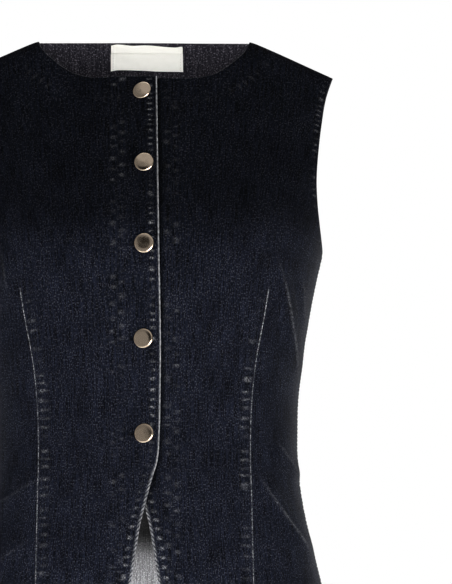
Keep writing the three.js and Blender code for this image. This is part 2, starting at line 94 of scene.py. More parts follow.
# Studio: a pale floor, a white surround and large soft lamps
studio = {
    "floorHeight": -1.65,
    "floorSize": 60.0,
    "floorColor": (0.8, 0.8, 0.79, 1),
    "floorRoughness": 0.8,
    "glowColor": (1, 1, 0.99, 1),
    "floorGlow": 0.55,  # keeps the floor pale to the eye
    "surround": 0.3,  # white to the eye, softer as light
    "gamma": 0.85,  # a contrasty print
    "aimAt": (0, 0, -0.25),
    "lamps": {  # place, width and height, power, and whether metal mirrors it
        "lowRight": ((1.2, -2.1, -1.15), (2.8, 1.05), 100, True),
        "lowLeft": ((-1.4, -2.0, -1.05), (1.2, 0.75), 48, False),
        "collar": ((-0.5, -2.5, -0.18), (0.9, 0.4), 22, False),
        "side": ((1.8, -0.2, -1.1), (0.8, 0.8), 10, False),
        "otherSide": ((-1.8, -0.2, -1.1), (0.8, 0.8), 14, False),
        "behindRight": ((1.4, 2.0, -0.6), (1.6, 1.0), 80, True),
        "behindLeft": ((-1.3, 2.1, -0.7), (1.6, 1.0), 85, True),
        "above": ((0, 0.9, 2.4), (2.0, 2.0), 14, True),
    },
}
reflected = {  # what the buttons mirror of the surround, in degrees across and up
    "cards": [  # a place on the edge, across and up, the edge's slant, brightness before it and beyond it
        (-17.1, 28.6, 2.2, 0.85, 1.75),
        (-27.8, 13.2, 0.5, 1.15, 0.1),
    ],
    "softness": 1.6,
    "plain": 1.15,
    "cardTop": (21.0, 24.5),  # the second card ends below the first
    "cardFoot": (2.0, 7.0),
    "cardSide": (-9.0, -3.0),
    "stripAcross": ((-62.0, -37.0), (4.0, 12.0)),  # what their lower rims mirror, with its two soft ends
    "stripUp": ((-46.0, -40.0), (-16.0, -12.0)),
    "stripGlow": 7.0,
}


def addFloor():
    mesh = bpy.data.meshes.new("floor")
    bm = bmesh.new()
    bmesh.ops.create_grid(bm, x_segments=1, y_segments=1, size=studio["floorSize"] / 2)
    bmesh.ops.translate(bm, verts=bm.verts, vec=(0, 0, studio["floorHeight"]))
    bm.to_mesh(mesh)
    bm.free()
    floor = addObject("floor", mesh)
    material, tree, paint = startMaterial("paleFloor", studio["floorRoughness"])
    paint["Base Color"].default_value = studio["floorColor"]
    paint["Emission Color"].default_value = studio["glowColor"]
    isSeen = addNode(tree, "ShaderNodeLightPath").outputs["Is Camera Ray"]
    tree.links.new(times(tree, isSeen, studio["floorGlow"]), paint["Emission Strength"])
    mesh.materials.append(material)


def addLamps():
    for name, (place, size, power, isMirrored) in studio["lamps"].items():
        data = bpy.data.lights.new(name, "AREA")
        data.shape = "RECTANGLE"
        data.size, data.size_y = size
        data.energy = power
        light = addObject(name, data)
        light.location = place
        light.rotation_euler = (Vector(studio["aimAt"]) - light.location).to_track_quat("-Z", "Y").to_euler()
        light.visible_glossy = isMirrored


def addSurround():
    world = bpy.data.worlds.new("surround")
    bpy.context.scene.world = world
    world.use_nodes = True
    tree = world.node_tree
    background = tree.nodes["Background"].inputs
    background["Color"].default_value = (1, 1, 1, 1)
    path = addNode(tree, "ShaderNodeLightPath").outputs
    isSeen = path["Is Camera Ray"]
    strength = addNode(tree, "ShaderNodeMapRange", {"Value": isSeen, "To Min": studio["surround"]}).outputs["Result"]
    way = parts(tree, addNode(tree, "ShaderNodeTexCoord").outputs["Generated"])
    across = calc(tree, "DEGREES", calc(tree, "ARCTAN2", way["X"], times(tree, way["Y"], -1.0)))
    up = calc(tree, "DEGREES", calc(tree, "ARCSINE", way["Z"]))
    shades, soft = [], reflected["softness"]
    for acrossAt, upAt, slant, before, beyond in reflected["cards"]:
        past = calc(tree, "MULTIPLY_ADD", calc(tree, "SUBTRACT", up, upAt), slant, across)
        shades.append(ramp(tree, past, before, beyond, acrossAt - soft, acrossAt + soft))
    inCard = times(tree, rise(tree, up, reflected["cardFoot"]), fall(tree, across, reflected["cardSide"]))
    pattern = blend(tree, reflected["plain"], shades[1], inCard)
    pattern = blend(tree, pattern, shades[0], rise(tree, up, reflected["cardTop"]))
    inStrip = path["Is Glossy Ray"]
    for value, (start, end) in ((across, reflected["stripAcross"]), (up, reflected["stripUp"])):
        inStrip = times(tree, inStrip, rise(tree, value, start), fall(tree, value, end))
    pattern = calc(tree, "MULTIPLY_ADD", inStrip, reflected["stripGlow"], pattern)
    tree.links.new(times(tree, strength, blend(tree, pattern, 1.0, isSeen)), background["Strength"])


def addStudio():
    view = bpy.context.scene.view_settings
    view.view_transform = "Standard"
    view.gamma = studio["gamma"]
    addFloor()
    addLamps()
    addSurround()


# Smooth steps and curves
def smoothStep(value):
    t = np.clip(value, 0, 1)
    return t * t * (3 - 2 * t)


def hump(distance, width):
    return np.exp(-((distance / width) ** 2))


def mix(a, b, share):
    return a + (b - a) * share


def walkedAlong(points):  # how far along a line each of its points lies
    return np.concatenate([[0], np.cumsum(np.linalg.norm(np.diff(points, axis=0), axis=1))])


def curveThrough(table):  # reads the other columns of a table at places along its first one
    rows = np.array(table, float)
    last = len(rows) - 1
    k = np.arange(len(rows))
    across = rows[np.minimum(k + 1, last)] - rows[np.maximum(k - 1, 0)]
    slopes = across[:, 1:] / across[:, :1]

    def read(at):
        at = np.asarray(at, float)
        k = np.clip(np.searchsorted(rows[:, 0], at, "right") - 1, 0, last - 1)
        span = (rows[k + 1, 0] - rows[k, 0])[..., None]
        t = np.clip((at - rows[k, 0])[..., None] / span, 0, 1)
        bend = slopes[k] * (1 - t) - slopes[k + 1] * t
        return mix(rows[k, 1:], rows[k + 1, 1:], smoothStep(t)) + t * (1 - t) * span * bend

    return read


def wander(at, step, seed):  # smooth random values from -1 to 1
    knots = np.random.default_rng(seed).uniform(-1, 1, 600)
    at = np.asarray(at) / step + 200
    k = np.floor(at).astype(int)
    return mix(knots[k], knots[k + 1], smoothStep(at - k))


# The torso that the cloth is filled out to, as in the CAD source
torso = {
    "sections": [  # down from the shoulder line, height, half width, depth in front, depth behind
        (-13, -2.3, 205, -12.8, -12.8), (0, 0, 205, 0, 0), (13, -2.3, 205, 12.8, 12.8),
        (27, -9.5, 204, 24, 25.5), (43, -22, 202, 32, 40), (63, -39.6, 199, 39.5, 55),
        (90, -63.5, 194, 51, 66), (130, -99.5, 185, 70.5, 79), (170, -136, 176, 90, 89),
        (210, -173.5, 167.5, 107.5, 96), (235, -198, 161.9, 116, 98), (270, -232, 154.2, 121.5, 97),
        (321, -283, 144.5, 118.5, 87), (369, -331, 138.4, 109.5, 74), (396, -358, 137.2, 105, 70.5),
        (430, -392, 137.3, 102.5, 72), (466, -428, 142.1, 104, 80), (510, -471, 151.5, 107.5, 91.5),
        (590, -550, 170, 113, 106),
    ],
    "sideFullness": 0.25,
    "bust": {"across": 86 * mm, "height": -226 * mm, "rise": 9 * mm, "width": 42 * mm, "length": 50 * mm},
    "neckEnd": 97 * mm,
    "armEnd": 173.5 * mm,
    "shoulderSlope": 0.455,
    "neckEndSoftness": 4 * mm,
    "softening": 0.5,
    "softeningStart": 30 * mm,
    "shoulderFade": 170 * mm,
    "napeRise": 65 * mm,
    "napeFade": 240 * mm,
    "neckTilt": 0.2566,
    "neckEcho": 3,
    "hem": -550 * mm,
    "underarm": -198 * mm,
}
sectionAt = curveThrough(np.array(torso["sections"]) * mm)
deepest = torso["sections"][-1][0] * mm


def shoulderFall(across, down):
    outwards = np.abs(across) - torso["neckEnd"]
    softness = torso["softening"] * down**2 / (np.abs(down) + torso["softeningStart"])
    softness = softness + torso["neckEndSoftness"]
    return torso["shoulderSlope"] * (outwards + np.hypot(outwards, softness) - softness) / 2


def torsoPoint(isBack, place):  # a place is a turn from the centre line and a way down, last in the array
    turn, down = place[..., 0], place[..., 1]
    level, half, front, back = np.moveaxis(sectionAt(down), -1, 0)
    across = half * np.sin(turn)
    roundness = np.cos(turn) * (1 + torso["sideFullness"] * np.sin(turn) ** 2)
    fade = 1 - smoothStep(np.abs(down) / torso["shoulderFade"])
    height = level - fade * shoulderFall(across, down)
    if isBack:
        inNeck = np.maximum(1 - (across / torso["neckEnd"]) ** 2, 0)
        height = height + torso["napeRise"] * inNeck * (1 - smoothStep(down / torso["napeFade"]))
        return np.stack([across, back * roundness, height], -1)
    bust = torso["bust"]
    cup = hump(np.abs(across) - bust["across"], bust["width"]) * hump(height - bust["height"], bust["length"])
    return np.stack([across, -front * roundness - bust["rise"] * cup * np.cos(turn), height], -1)


turnStep, downStep = np.array([0.002, 0]), np.array([0, 0.2 * mm])  # for slopes of the torso's surface


def outward(isBack, place):
    def change(step):
        return torsoPoint(isBack, place + step) - torsoPoint(isBack, place - step)

    normal = np.cross(change(downStep), change(turnStep)) * (-1 if isBack else 1)
    return normal / np.linalg.norm(normal, axis=-1, keepdims=True)


def placeWhere(across, value):  # where a value that falls on the way down passes zero
    across = np.asarray(across, float)
    above, below = np.zeros(across.shape), np.full(across.shape, deepest)

    def at(down):
        half = sectionAt(down)[..., 1]
        return np.stack([np.arcsin(np.clip(across / half, -1, 1)), down], -1)

    for halving in range(34):
        down = (above + below) / 2
        isHigh = value(at(down)) > 0
        above, below = np.where(isHigh, down, above), np.where(isHigh, below, down)
    return at(above)


def placeAt(isBack, across, height):
    across, height = np.broadcast_arrays(np.asarray(across, float), np.asarray(height, float))
    return placeWhere(across, lambda place: torsoPoint(isBack, place)[..., 2] - height)


def perTurn(isBack, place):  # metres for each radian of turn
    step = torsoPoint(isBack, place + turnStep) - torsoPoint(isBack, place)
    return np.linalg.norm(step, axis=-1) / turnStep[0]


def movedOver(isBack, place, across, down=0):
    return np.stack([place[..., 0] + across / perTurn(isBack, place), place[..., 1] + down], -1)


def offsetLine(isBack, line, distance):  # a line beside another, on its right side seen from its start
    run = np.diff(line, axis=0)
    run[:, 0] *= perTurn(isBack, line[:-1])
    side = np.stack([run[:, 1], -run[:, 0]], -1)
    side /= np.linalg.norm(side, axis=1, keepdims=True)
    side = np.concatenate([side[:1], side[:-1] + side[1:], side[-1:]])
    side /= np.linalg.norm(side, axis=1, keepdims=True)
    return movedOver(isBack, line, distance * side[:, 0], distance * side[:, 1])


# The lines that the pieces are cut to
cut = {
    "seamGap": 0.3 * mm,
    "sewnGap": 0.02 * mm,  # at the shoulders and sides, where the panels are sewn together
    "frontEdge": [  # height, across
        (-550, 23), (-496, 11.9), (-449, 4.2), (-428, -0.9), (-409, -5.8), (-391, -11), (-371, -12.6),
        (-340, -13.4), (-288, -13.8), (-204, -12.6), (-42.5, -11.3),
    ],
    "placket": [(-550, 36), (-496, 29), (-428, 27.5), (-42.5, 27.5)],
    "frontMiddle": [
        (-550, 79), (-428, 64), (-347, 61), (-198, 80), (-110, 103), (-75, 111), (-46, 114.5), (-30, 114),
        (-16, 111), (-6.3, 105.5), (0, 97),
    ],
    "frontDart": [
        (-550, 93), (-495, 92.2), (-427, 91.4), (-391, 90.8), (-357, 91.2), (-328, 93), (-303, 96),
        (-264, 103.4), (-243, 107), (-198, 113.5), (-117, 127), (-21, 145),
    ],
    "backEdge": [(-550, 0), (14, 0)],  # its middle
    "backMiddle": [
        (-550, 64), (-347, 58), (-198, 74), (-110, 99), (-75, 108), (-46, 113), (-30, 113), (-16, 110),
        (-6.3, 105), (0, 97),
    ],
    "backDart": [(-550, 84), (-428, 79), (-347, 78), (-263, 86), (-198, 98), (-117, 122), (-21, 145)],
    "frontNeck": [  # across, height
        (-20, -42.5), (27.5, -42.5), (45, -42.2), (63, -37.6), (75, -29.6), (85.6, -20), (93, -11), (97, 0),
    ],
    "frontArmhole": [  # row, across, height
        (1, 161.9, -198), (1.07, 161.2, -196.3), (1.16, 159.4, -190), (1.26, 157, -178),
        (1.38, 154.8, -160), (1.5, 154.2, -138), (1.64, 156.7, -110), (1.77, 160.6, -83),
        (1.89, 165.4, -58.5), (2, 173.5, -34),
    ],
    "backArmhole": [
        (1, 161.9, -198), (1.07, 161.3, -196), (1.16, 160.3, -189), (1.26, 159, -176), (1.5, 157, -134),
        (1.7, 159.4, -95), (1.86, 164, -62), (2, 173.5, -34),
    ],
    "frontDartTip": -241 * mm,
    "backDartTip": -236 * mm,
}
frontNeckAt = curveThrough(np.array(cut["frontNeck"]) * mm)
frontEdgeAt = curveThrough(np.array(cut["frontEdge"]) * mm)
neckFoot = cut["frontNeck"][0][1] * mm


def atShoulder(across):
    turn = np.arcsin(np.asarray(across, float) / sectionAt(0.0)[1])
    return np.stack([turn, np.full(turn.shape, cut["sewnGap"] / 2)], -1)


def neckPlace(isBack, across):
    across = np.asarray(across, float)
    if isBack:

        def aboveEdge(place):
            point = torsoPoint(True, place)
            return point[..., 2] - torso["neckTilt"] * point[..., 1]

        place = placeWhere(across, aboveEdge)
    else:
        place = placeAt(False, across, frontNeckAt(across)[..., 0])
    onShoulder = across >= torso["neckEnd"] - 1e-9
    return np.where(onShoulder[..., None], atShoulder(across), place)


def alongNeck(isBack, start, end, shares):  # places at shares of the way along the edge
    samples = neckPlace(isBack, np.linspace(start, end, 121))
    steps = np.linalg.norm(np.diff(torsoPoint(isBack, samples), axis=0), axis=1)
    way = np.concatenate([[0], np.cumsum(steps)]) / steps.sum()
    return np.stack([np.interp(shares, way, samples[:, k]) for k in range(2)], -1)


def rowHeight(rows, topHeight):  # rows run from 0 at the hem past 1 at the underarm to 2 at the top
    low = mix(torso["hem"], torso["underarm"], rows)
    return np.where(rows <= 1, low, mix(torso["underarm"], topHeight, rows - 1))


def guideLine(isBack, rows, table):
    table = np.array(table) * mm
    edge = neckPlace(isBack, table[-1, 1])
    heights = rowHeight(rows, torsoPoint(isBack, edge)[2])
    line = placeAt(isBack, curveThrough(table)(heights)[:, 0], heights)
    return np.where((rows >= 2)[:, None], edge, line)


def sideLine(isBack, rows, armhole):
    across, height = curveThrough(np.array(armhole) * [1, mm, mm])(rows).T
    upper = placeAt(isBack, across, height)
    centre = placeAt(isBack, 0, rowHeight(rows, 0))
    seam = np.stack([np.full(rows.shape, math.pi / 2), centre[:, 1]], -1)
    seam = movedOver(isBack, seam, -cut["sewnGap"] / 2)
    line = np.where((rows <= 1)[:, None], seam, upper)
    return np.where((rows >= 2)[:, None], atShoulder(torso["armEnd"]), line)


def halfPanel(isBack, rows, guides):  # guides are lines from the centre outwards, with shares to the next
    columns = [guides[0][0]]
    for (before, shares), (line, following) in zip(guides, guides[1:]):
        ends = [torsoPoint(isBack, side[-1])[0] for side in (before, line)]
        edges = alongNeck(isBack, *ends, shares)
        for share, edge in zip(shares[1:], edges[1:]):
            mixed = mix(before, line, share)
            weight = np.maximum(rows - 1, 0) ** torso["neckEcho"] * (share < 1)
            columns.append(mixed + (edge - mixed[-1]) * weight[:, None])
    return np.array(columns)


# Nearness to seams: how far a point is from a line on the torso, and how far along the line that is
def nearLine(points, line):
    run = np.diff(line, axis=0)
    length = np.linalg.norm(run, axis=1)
    start = np.concatenate([[0], np.cumsum(length)[:-1]])
    away, along = [], []
    for part in np.array_split(points.reshape(-1, 3), 1 + points.size // 3000):
        gap = part[:, None] - line[None, :-1]
        share = np.clip((gap * run).sum(-1) / length**2, 0, 1)
        distance = np.linalg.norm(gap - share[..., None] * run, axis=-1)
        nearest = distance.argmin(1)
        k = np.arange(len(part))
        away.append(distance[k, nearest])
        along.append(start[nearest] + share[k, nearest] * length[nearest])
    return tuple(np.concatenate(values).reshape(points.shape[:-1]) for values in (away, along))


# Puckers: small ridges across a seam, where the stitches draw the cloth in
puckers = {  # offset from the edge, width, spacing and rise of the ridges in millimetres
    "frontEdge": {"offset": 6.8, "width": 1.8, "period": 6.6, "rise": 0.30, "evenness": 0.8, "seed": 3},
    "placket": {"offset": 4.0, "width": 2.6, "period": 11.0, "rise": 0.20, "evenness": 0.5, "seed": 5},
    "neck": {"offset": 24.0, "width": 3.0, "period": 6.5, "rise": 0.05, "evenness": 0.3, "seed": 7},
    "armhole": {"offset": 4.9, "width": 2.0, "period": 6.2, "rise": 0.20, "evenness": 0.35, "seed": 11},
    "side": {"offset": 7.0, "width": 3.4, "period": 7.4, "rise": 0.28, "evenness": 0.35, "seed": 13},
    "dart": {"offset": 6.2, "width": 3.4, "period": 8.4, "rise": 0.28, "evenness": 0.6, "seed": 17},
    "hem": {"offset": 18.0, "width": 3.6, "period": 7.0, "rise": 0.25, "evenness": 0.5, "seed": 19},
}
placketColumns = 3.7 * mm  # from the placket's stitches to the puckers on either side of them
gathers = {
    "drift": 2.6,  # of the ridges' phase
    "driftStep": 13 * mm,
    "unevenness": 0.75,
    "strengthStep": 12 * mm,
    "weakest": 0.03,
    "ridges": [(-550, 0), (-500, 4.5), (-470, 7.5), (-425, 13.5), (-190, 46), (-42, 70)],  # height, how many below
    "vTop": -433 * mm,
    "vEase": 10 * mm,
    "vStrength": 1.25,
    "bare": -408 * mm,  # few show here, where the edge slants
    "bareLength": 22 * mm,
    "bareShare": 0.7,
}


def puckerField(name, away, along, side):  # distance, phase of the ridges and strength at each point
    kind = puckers[name]
    seed = kind["seed"] + 100 * side
    drift = gathers["drift"] * wander(along, gathers["driftStep"], seed)
    strength = kind["evenness"] + gathers["unevenness"] * wander(along, gathers["strengthStep"], seed + 1)
    phase = 2 * math.pi * along / (kind["period"] * mm) + drift
    return np.stack([away, phase, np.clip(strength, gathers["weakest"], 1)], -1)


def puckerRise(name, field):
    kind = puckers[name]
    ridge = (0.5 + 0.5 * np.sin(field[..., 1])) ** 1.5
    aside = field[..., 0] - kind["offset"] * mm
    if name == "placket":
        aside = np.abs(aside) - placketColumns
    return kind["rise"] * mm * ridge * field[..., 2] * hump(aside, kind["width"] * mm)


# Folds: soft ridges from one place to another, with a thin crease along the crest of some
folds = {
    "ease": 0.4,
    "creaseRise": 0.55,
    "creaseWidth": 1.9,
    "atSeam": 0.3,  # the share of a fold that crosses the side seam
    "seamEase": 16 * mm,
    "sway": 1.2 * mm,
    "swayStep": 25 * mm,
    "creaseReach": 8 * mm,
    "facingFront": (0.15, 0.5),  # creases go soft where the side turns away
    "leftFront": [  # across, height, across at the end, height there, rise, width, crease
        (117, -218, 136, -316, 3.0, 9, 0.8),
        (139, -230, 141, -274, 1.8, 6, 0.35),
        (118, -376, 136, -401, 2.0, 8, 0.35),
        (99, -407, 148, -473, 2.8, 10, 0.8),
    ],
    "rightFront": [
        (123, -212, 117, -244, 1.4, 6, 0.3),
        (126, -262, 139, -330, 2.2, 10, 0.25),
        (96, -409, 126, -425, 2.0, 9, 0.25),
        (104, -462, 146, -492, 1.8, 10, 0.3),
    ],
    "leftBack": [
        (84, -318, 134, -352, 2.4, 10, 0.25),
        (92, -404, 142, -430, 2.4, 10, 0.3),
        (70, -446, 120, -500, 2.0, 12, 0.1),
        (96, -240, 142, -214, 2.0, 13, 0.0),
    ],
    "rightBack": [
        (96, -296, 138, -342, 2.6, 10, 0.25),
        (112, -376, 141, -389, 1.8, 8, 0.3),
        (82, -418, 132, -466, 2.4, 11, 0.15),
        (104, -262, 145, -232, 1.8, 11, 0.0),
    ],
}


def foldField(table, point):  # rise of the folds, and distance and strength of the nearest crease
    rise = np.zeros(point.shape[:-1])
    crease = np.stack([np.full(point.shape[:-1], 0.02), rise, rise], -1)
    for across, height, acrossEnd, heightEnd, foldRise, width, sharp in np.array(table) * ([mm] * 6 + [1]):
        run = np.array([acrossEnd - across, heightEnd - height])
        length = np.hypot(*run)
        gap = point[..., [0, 2]] - [across, height]
        along = gap @ run / length
        aside = (gap[..., 0] * run[1] - gap[..., 1] * run[0]) / length
        aside = aside + folds["sway"] * wander(along, folds["swayStep"], int(length / mm))
        ease = length * folds["ease"]
        ends = smoothStep((along + width) / ease) * smoothStep((length + width - along) / ease)
        rise = rise + foldRise * ends * hump(aside, width)
        isNear = (np.abs(aside) < folds["creaseReach"]) & (ends > 0)
        crease[isNear] = np.stack([aside, along, ends * sharp], -1)[isNear]
        rise = rise + folds["creaseRise"] * mm * sharp * ends * hump(aside, folds["creaseWidth"] * mm)
    return rise, crease


# Cloth: outer and inner points of a panel at its places, and what its material needs to know there
cloth = {
    "single": 1.3 * mm,
    "double": 2.4 * mm,
    "roundEdge": 1.0 * mm,
    "dartStep": 0.9 * mm,
    "dartEdge": 1.2 * mm,
    "dartEase": 26 * mm,
    "dartTipLength": 30 * mm,
    "facing": 9 * mm,  # width of the doubled cloth along an edge
    "layerEase": 2 * mm,
    "overlapRest": 3 * mm,
    "overlapEase": 38 * mm,
    "vTop": -430 * mm,
    "vEase": 90 * mm,
    "vSettle": 0.7,
    "ripple": 0.35 * mm,
    "rippleSize": (34 * mm, 41 * mm),  # across and down
    "rippleSeeds": (23, 29),
    "perTurn": 0.16,
    "nick": 4.2 * mm,  # slanted nicks that the stitches pull into the lower front edge
    "nickSlant": 1.3,
    "nickTop": -395 * mm,
    "nickEase": 12 * mm,
    "nickWidth": 2.2 * mm,
    "nickDepth": 0.5 * mm,
}


def dartRise(inwards, height, tip):
    share = 1 - smoothStep(inwards / cloth["dartEase"])
    slope = smoothStep(1 + inwards / cloth["dartEdge"])  # the step itself
    below = smoothStep((tip - height) / cloth["dartTipLength"])
    return cloth["dartStep"] * np.where(inwards < 0, slope, share) * below


def overlapLift(point):
    across, height = point[..., 0], point[..., 2]
    underEdge = -frontEdgeAt(np.clip(height, cloth["vTop"], neckFoot))[..., 0]
    flat = 1 - smoothStep((across - underEdge - cloth["overlapRest"]) / cloth["overlapEase"])
    closed = 1 - cloth["vSettle"] * smoothStep((cloth["vTop"] - height) / cloth["vEase"])
    return (cut["seamGap"] + cloth["double"]) * flat * closed


def roundedBy(away):  # how far the face falls back close to an edge
    radius = cloth["roundEdge"]
    return radius - np.sqrt(np.maximum(radius**2 - (radius - np.clip(away, 0, radius)) ** 2, 0))


def cutOf(isBack, name):  # the front's table or the back's
    return cut[("back" if isBack else "front") + name]


def seamLines(isBack, rows):  # the edges and seams of half a panel, as lines on the torso
    side = sideLine(isBack, rows, cutOf(isBack, "Armhole"))
    edge = guideLine(isBack, rows, cutOf(isBack, "Edge"))
    neckStart = torsoPoint(isBack, edge[-1])[0]
    return {
        "frontEdge": edge,
        "neck": alongNeck(isBack, neckStart, torso["neckEnd"], np.linspace(0, 1, 61)),
        "shoulder": atShoulder(np.linspace(torso["neckEnd"], torso["armEnd"], 20)),
        "armhole": side[rows >= 1],
        "side": side[rows <= 1],
        "dart": guideLine(isBack, rows, cutOf(isBack, "Dart")),
        "hem": np.stack([np.linspace(edge[0, 0], side[0, 0], 60), np.full(60, edge[0, 1])], -1),
    }


lineRows = np.linspace(0, 2, 141)
seams = {isBack: seamLines(isBack, lineRows) for isBack in (False, True)}
dartAcross = {isBack: curveThrough(np.array(cutOf(isBack, "Dart")) * mm) for isBack in (False, True)}
placketAcross = curveThrough(np.array(cut["placket"]) * mm)
ridgesBelow = curveThrough(np.array(gathers["ridges"]) * [mm, 1])


def clothAt(isBack, place, isRight=False):  # of half a panel, the wearer's right one still unmirrored
    point, normal = torsoPoint(isBack, place), outward(isBack, place)
    height = point[..., 2]
    fields = {}
    for name, line in seams[isBack].items():
        away, along = nearLine(point, torsoPoint(isBack, line))
        fields[name] = np.stack([away, along, along], -1)
        if name in puckers:
            fields[name] = puckerField(name, away, along, isRight)
    upTo = np.clip(height, torso["hem"], neckFoot)
    inside = placketAcross(upTo)[..., 0] - point[..., 0]
    fields["placket"] = puckerField("placket", inside, height, isRight)
    ridges = ridgesBelow(height)[..., 0] * puckers["frontEdge"]["period"] * mm
    fields["frontEdge"] = puckerField("frontEdge", fields["frontEdge"][..., 0], ridges, isRight)
    inV = smoothStep((gathers["vTop"] - height) / gathers["vEase"])
    beside = 1 - gathers["bareShare"] * hump(height - gathers["bare"], gathers["bareLength"])
    strength = np.maximum(fields["frontEdge"][..., 2], gathers["vStrength"] * inV)
    fields["frontEdge"][..., 2] = strength * beside
    if isBack:  # far from both
        fields["frontEdge"][..., 0] = 1
        fields["placket"][..., 0] = 1
    inwards = fields["dart"][..., 0] * np.sign(dartAcross[isBack](height)[..., 0] - point[..., 0])
    tip = cutOf(isBack, "DartTip")
    fields["dart"][..., 0] = inwards
    fields["dart"][..., 2] *= smoothStep((tip - height) / cloth["dartTipLength"])
    table = folds[("right" if isRight else "left") + ("Back" if isBack else "Front")]
    foldRise, fields["crease"] = foldField(table, point)
    bySide = mix(folds["atSeam"], 1, smoothStep(fields["side"][..., 0] / folds["seamEase"]))
    lift = dartRise(inwards, height, tip) + foldRise * bySide
    low, high = folds["facingFront"]
    fields["crease"][..., 2] *= smoothStep((np.abs(normal[..., 1]) - low) / (high - low))
    lift = lift + sum(puckerRise(name, fields[name]) for name in denim["rubs"])
    across = place[..., 0] * cloth["perTurn"]
    (acrossStep, downStep), (seed, otherSeed) = cloth["rippleSize"], cloth["rippleSeeds"]
    lift = lift + cloth["ripple"] * wander(across, acrossStep, seed + isRight) * wander(height, downStep, otherSeed)
    edge = fields["frontEdge"][..., 0]
    isLow = smoothStep((cloth["nickTop"] - height) / cloth["nickEase"]) * (not isBack)
    nicks = np.sin(2 * math.pi * (height + cloth["nickSlant"] * edge) / cloth["nick"])
    lift = lift - cloth["nickDepth"] * isLow * (0.5 - 0.5 * nicks) * hump(edge, cloth["nickWidth"])
    if isRight and not isBack:
        lift = lift + overlapLift(point)
    edgeAway = np.minimum.reduce([fields[name][..., 0] for name in ("frontEdge", "neck", "armhole", "hem")])
    isDouble = 1 - smoothStep((edgeAway - cloth["facing"]) / cloth["layerEase"])
    isDouble = np.maximum(isDouble, smoothStep(inside / cloth["layerEase"]) * (not isBack))
    thickness = mix(cloth["single"], cloth["double"], isDouble)
    drop = roundedBy(edgeAway)
    isUnder = not (isBack or isRight)
    overlapAway = point[..., 0] + frontEdgeAt(upTo)[..., 0] if isUnder else np.ones(height.shape)
    fields["edge"] = np.stack([edgeAway, fields["shoulder"][..., 0], overlapAway], -1)
    return {
        "outer": point + normal * (lift - drop)[..., None],
        "inner": point + normal * (lift - thickness + drop)[..., None],
        "normal": normal,
        "fields": fields,
        "flat": np.stack([place[..., 0] * cloth["perTurn"] + isRight, height], -1),
    }


def readAll(items, key, kind, width=1):
    values = np.empty(len(items) * width, kind)
    items.foreach_get(key, values)
    return values


# A wall made from a grid: the grid is extruded, and each corner then goes to its place
def makeWall(name, panel, materials, mirrored=False, holes=()):
    outer, inner = panel["outer"], panel["inner"]
    columns, rows = outer.shape[0] - 1, outer.shape[1] - 1
    bm = bmesh.new()
    bmesh.ops.create_grid(bm, x_segments=columns, y_segments=rows, size=0.5)
    cells = {}
    for face in bm.faces:
        middle = face.calc_center_median()
        cells[int((middle.x + 0.5) * columns), int((middle.y + 0.5) * rows)] = face
    left = [cells[i, row] for start, end, row in holes for i in range(start, end)]
    bmesh.ops.delete(bm, geom=left, context="FACES")
    made = bmesh.ops.extrude_face_region(bm, geom=bm.faces[:], use_keep_orig=True)
    bmesh.ops.translate(bm, verts=[v for v in made["geom"] if isinstance(v, bmesh.types.BMVert)], vec=(0, 0, 1))
    bmesh.ops.recalc_face_normals(bm, faces=bm.faces)
    mesh = bpy.data.meshes.new(name)
    bm.to_mesh(mesh)
    bm.free()
    lattice = readAll(mesh.vertices, "co", np.float32, 3).reshape(-1, 3)
    i = np.rint((lattice[:, 0] + 0.5) * columns).astype(int)
    j = np.rint((lattice[:, 1] + 0.5) * rows).astype(int)
    isOuter = lattice[:, 2] > 0.5
    points = np.where(isOuter[:, None], outer[i, j], inner[i, j])
    if mirrored:
        points = points * [-1, 1, 1]
    mesh.vertices.foreach_set("co", points.astype(np.float32).ravel())
    for key, field in panel["fields"].items():
        layer = mesh.attributes.new(key, "FLOAT_VECTOR", "POINT")
        layer.data.foreach_set("vector", field[i, j].astype(np.float32).ravel())
    corners = readAll(mesh.loops, "vertex_index", np.int32)
    uv = mesh.uv_layers.new(name="flat")
    uv.data.foreach_set("uv", panel["flat"][i, j][corners].astype(np.float32).ravel())
    faceCorners = corners[readAll(mesh.polygons, "loop_start", np.int32)[:, None] + np.arange(4)]
    faceIsInner = ~isOuter[faceCorners].any(1)
    for material in materials:
        mesh.materials.append(material)
    mesh.polygons.foreach_set("material_index", faceIsInner.astype(np.int32) * (len(materials) - 1))
    bm = bmesh.new()
    bm.from_mesh(mesh)
    if bm.calc_volume(signed=True) < 0:
        bmesh.ops.reverse_faces(bm, faces=bm.faces)
        bm.to_mesh(mesh)
    bm.free()
    mesh.shade_smooth()
    print(name, "has", sum(len(face.vertices) - 2 for face in mesh.polygons), "triangles")
    return addObject(name, mesh)


def evenShares(cells, closeStart=(), closeEnd=(), width=1.0):  # shares, with close columns at either end
    start, end = [at * mm / width for at in closeStart], [1 - at * mm / width for at in reversed(closeEnd)]
    low, high = ([0] + start)[-1], (end + [1])[0]
    middle = list(np.linspace(low, high, cells + 1)[1:-1])
    return np.array(sorted({0.0, *start, *middle, *end, 1.0}))


nearEdge = (0.25, 0.6, 1.1, 1.8)  # millimetres from an edge that is rounded


def panelRows(lower, upper):
    low = evenShares(lower, closeStart=nearEdge, width=lowerLength)
    high = evenShares(upper, closeEnd=nearEdge, width=upperLength)
    return np.concatenate([low, 1 + high[1:]])


lowerLength, upperLength = 352 * mm, 160 * mm  # of a panel below and above the underarm
fronts = {"lowerRows": 236, "upperRows": 112}


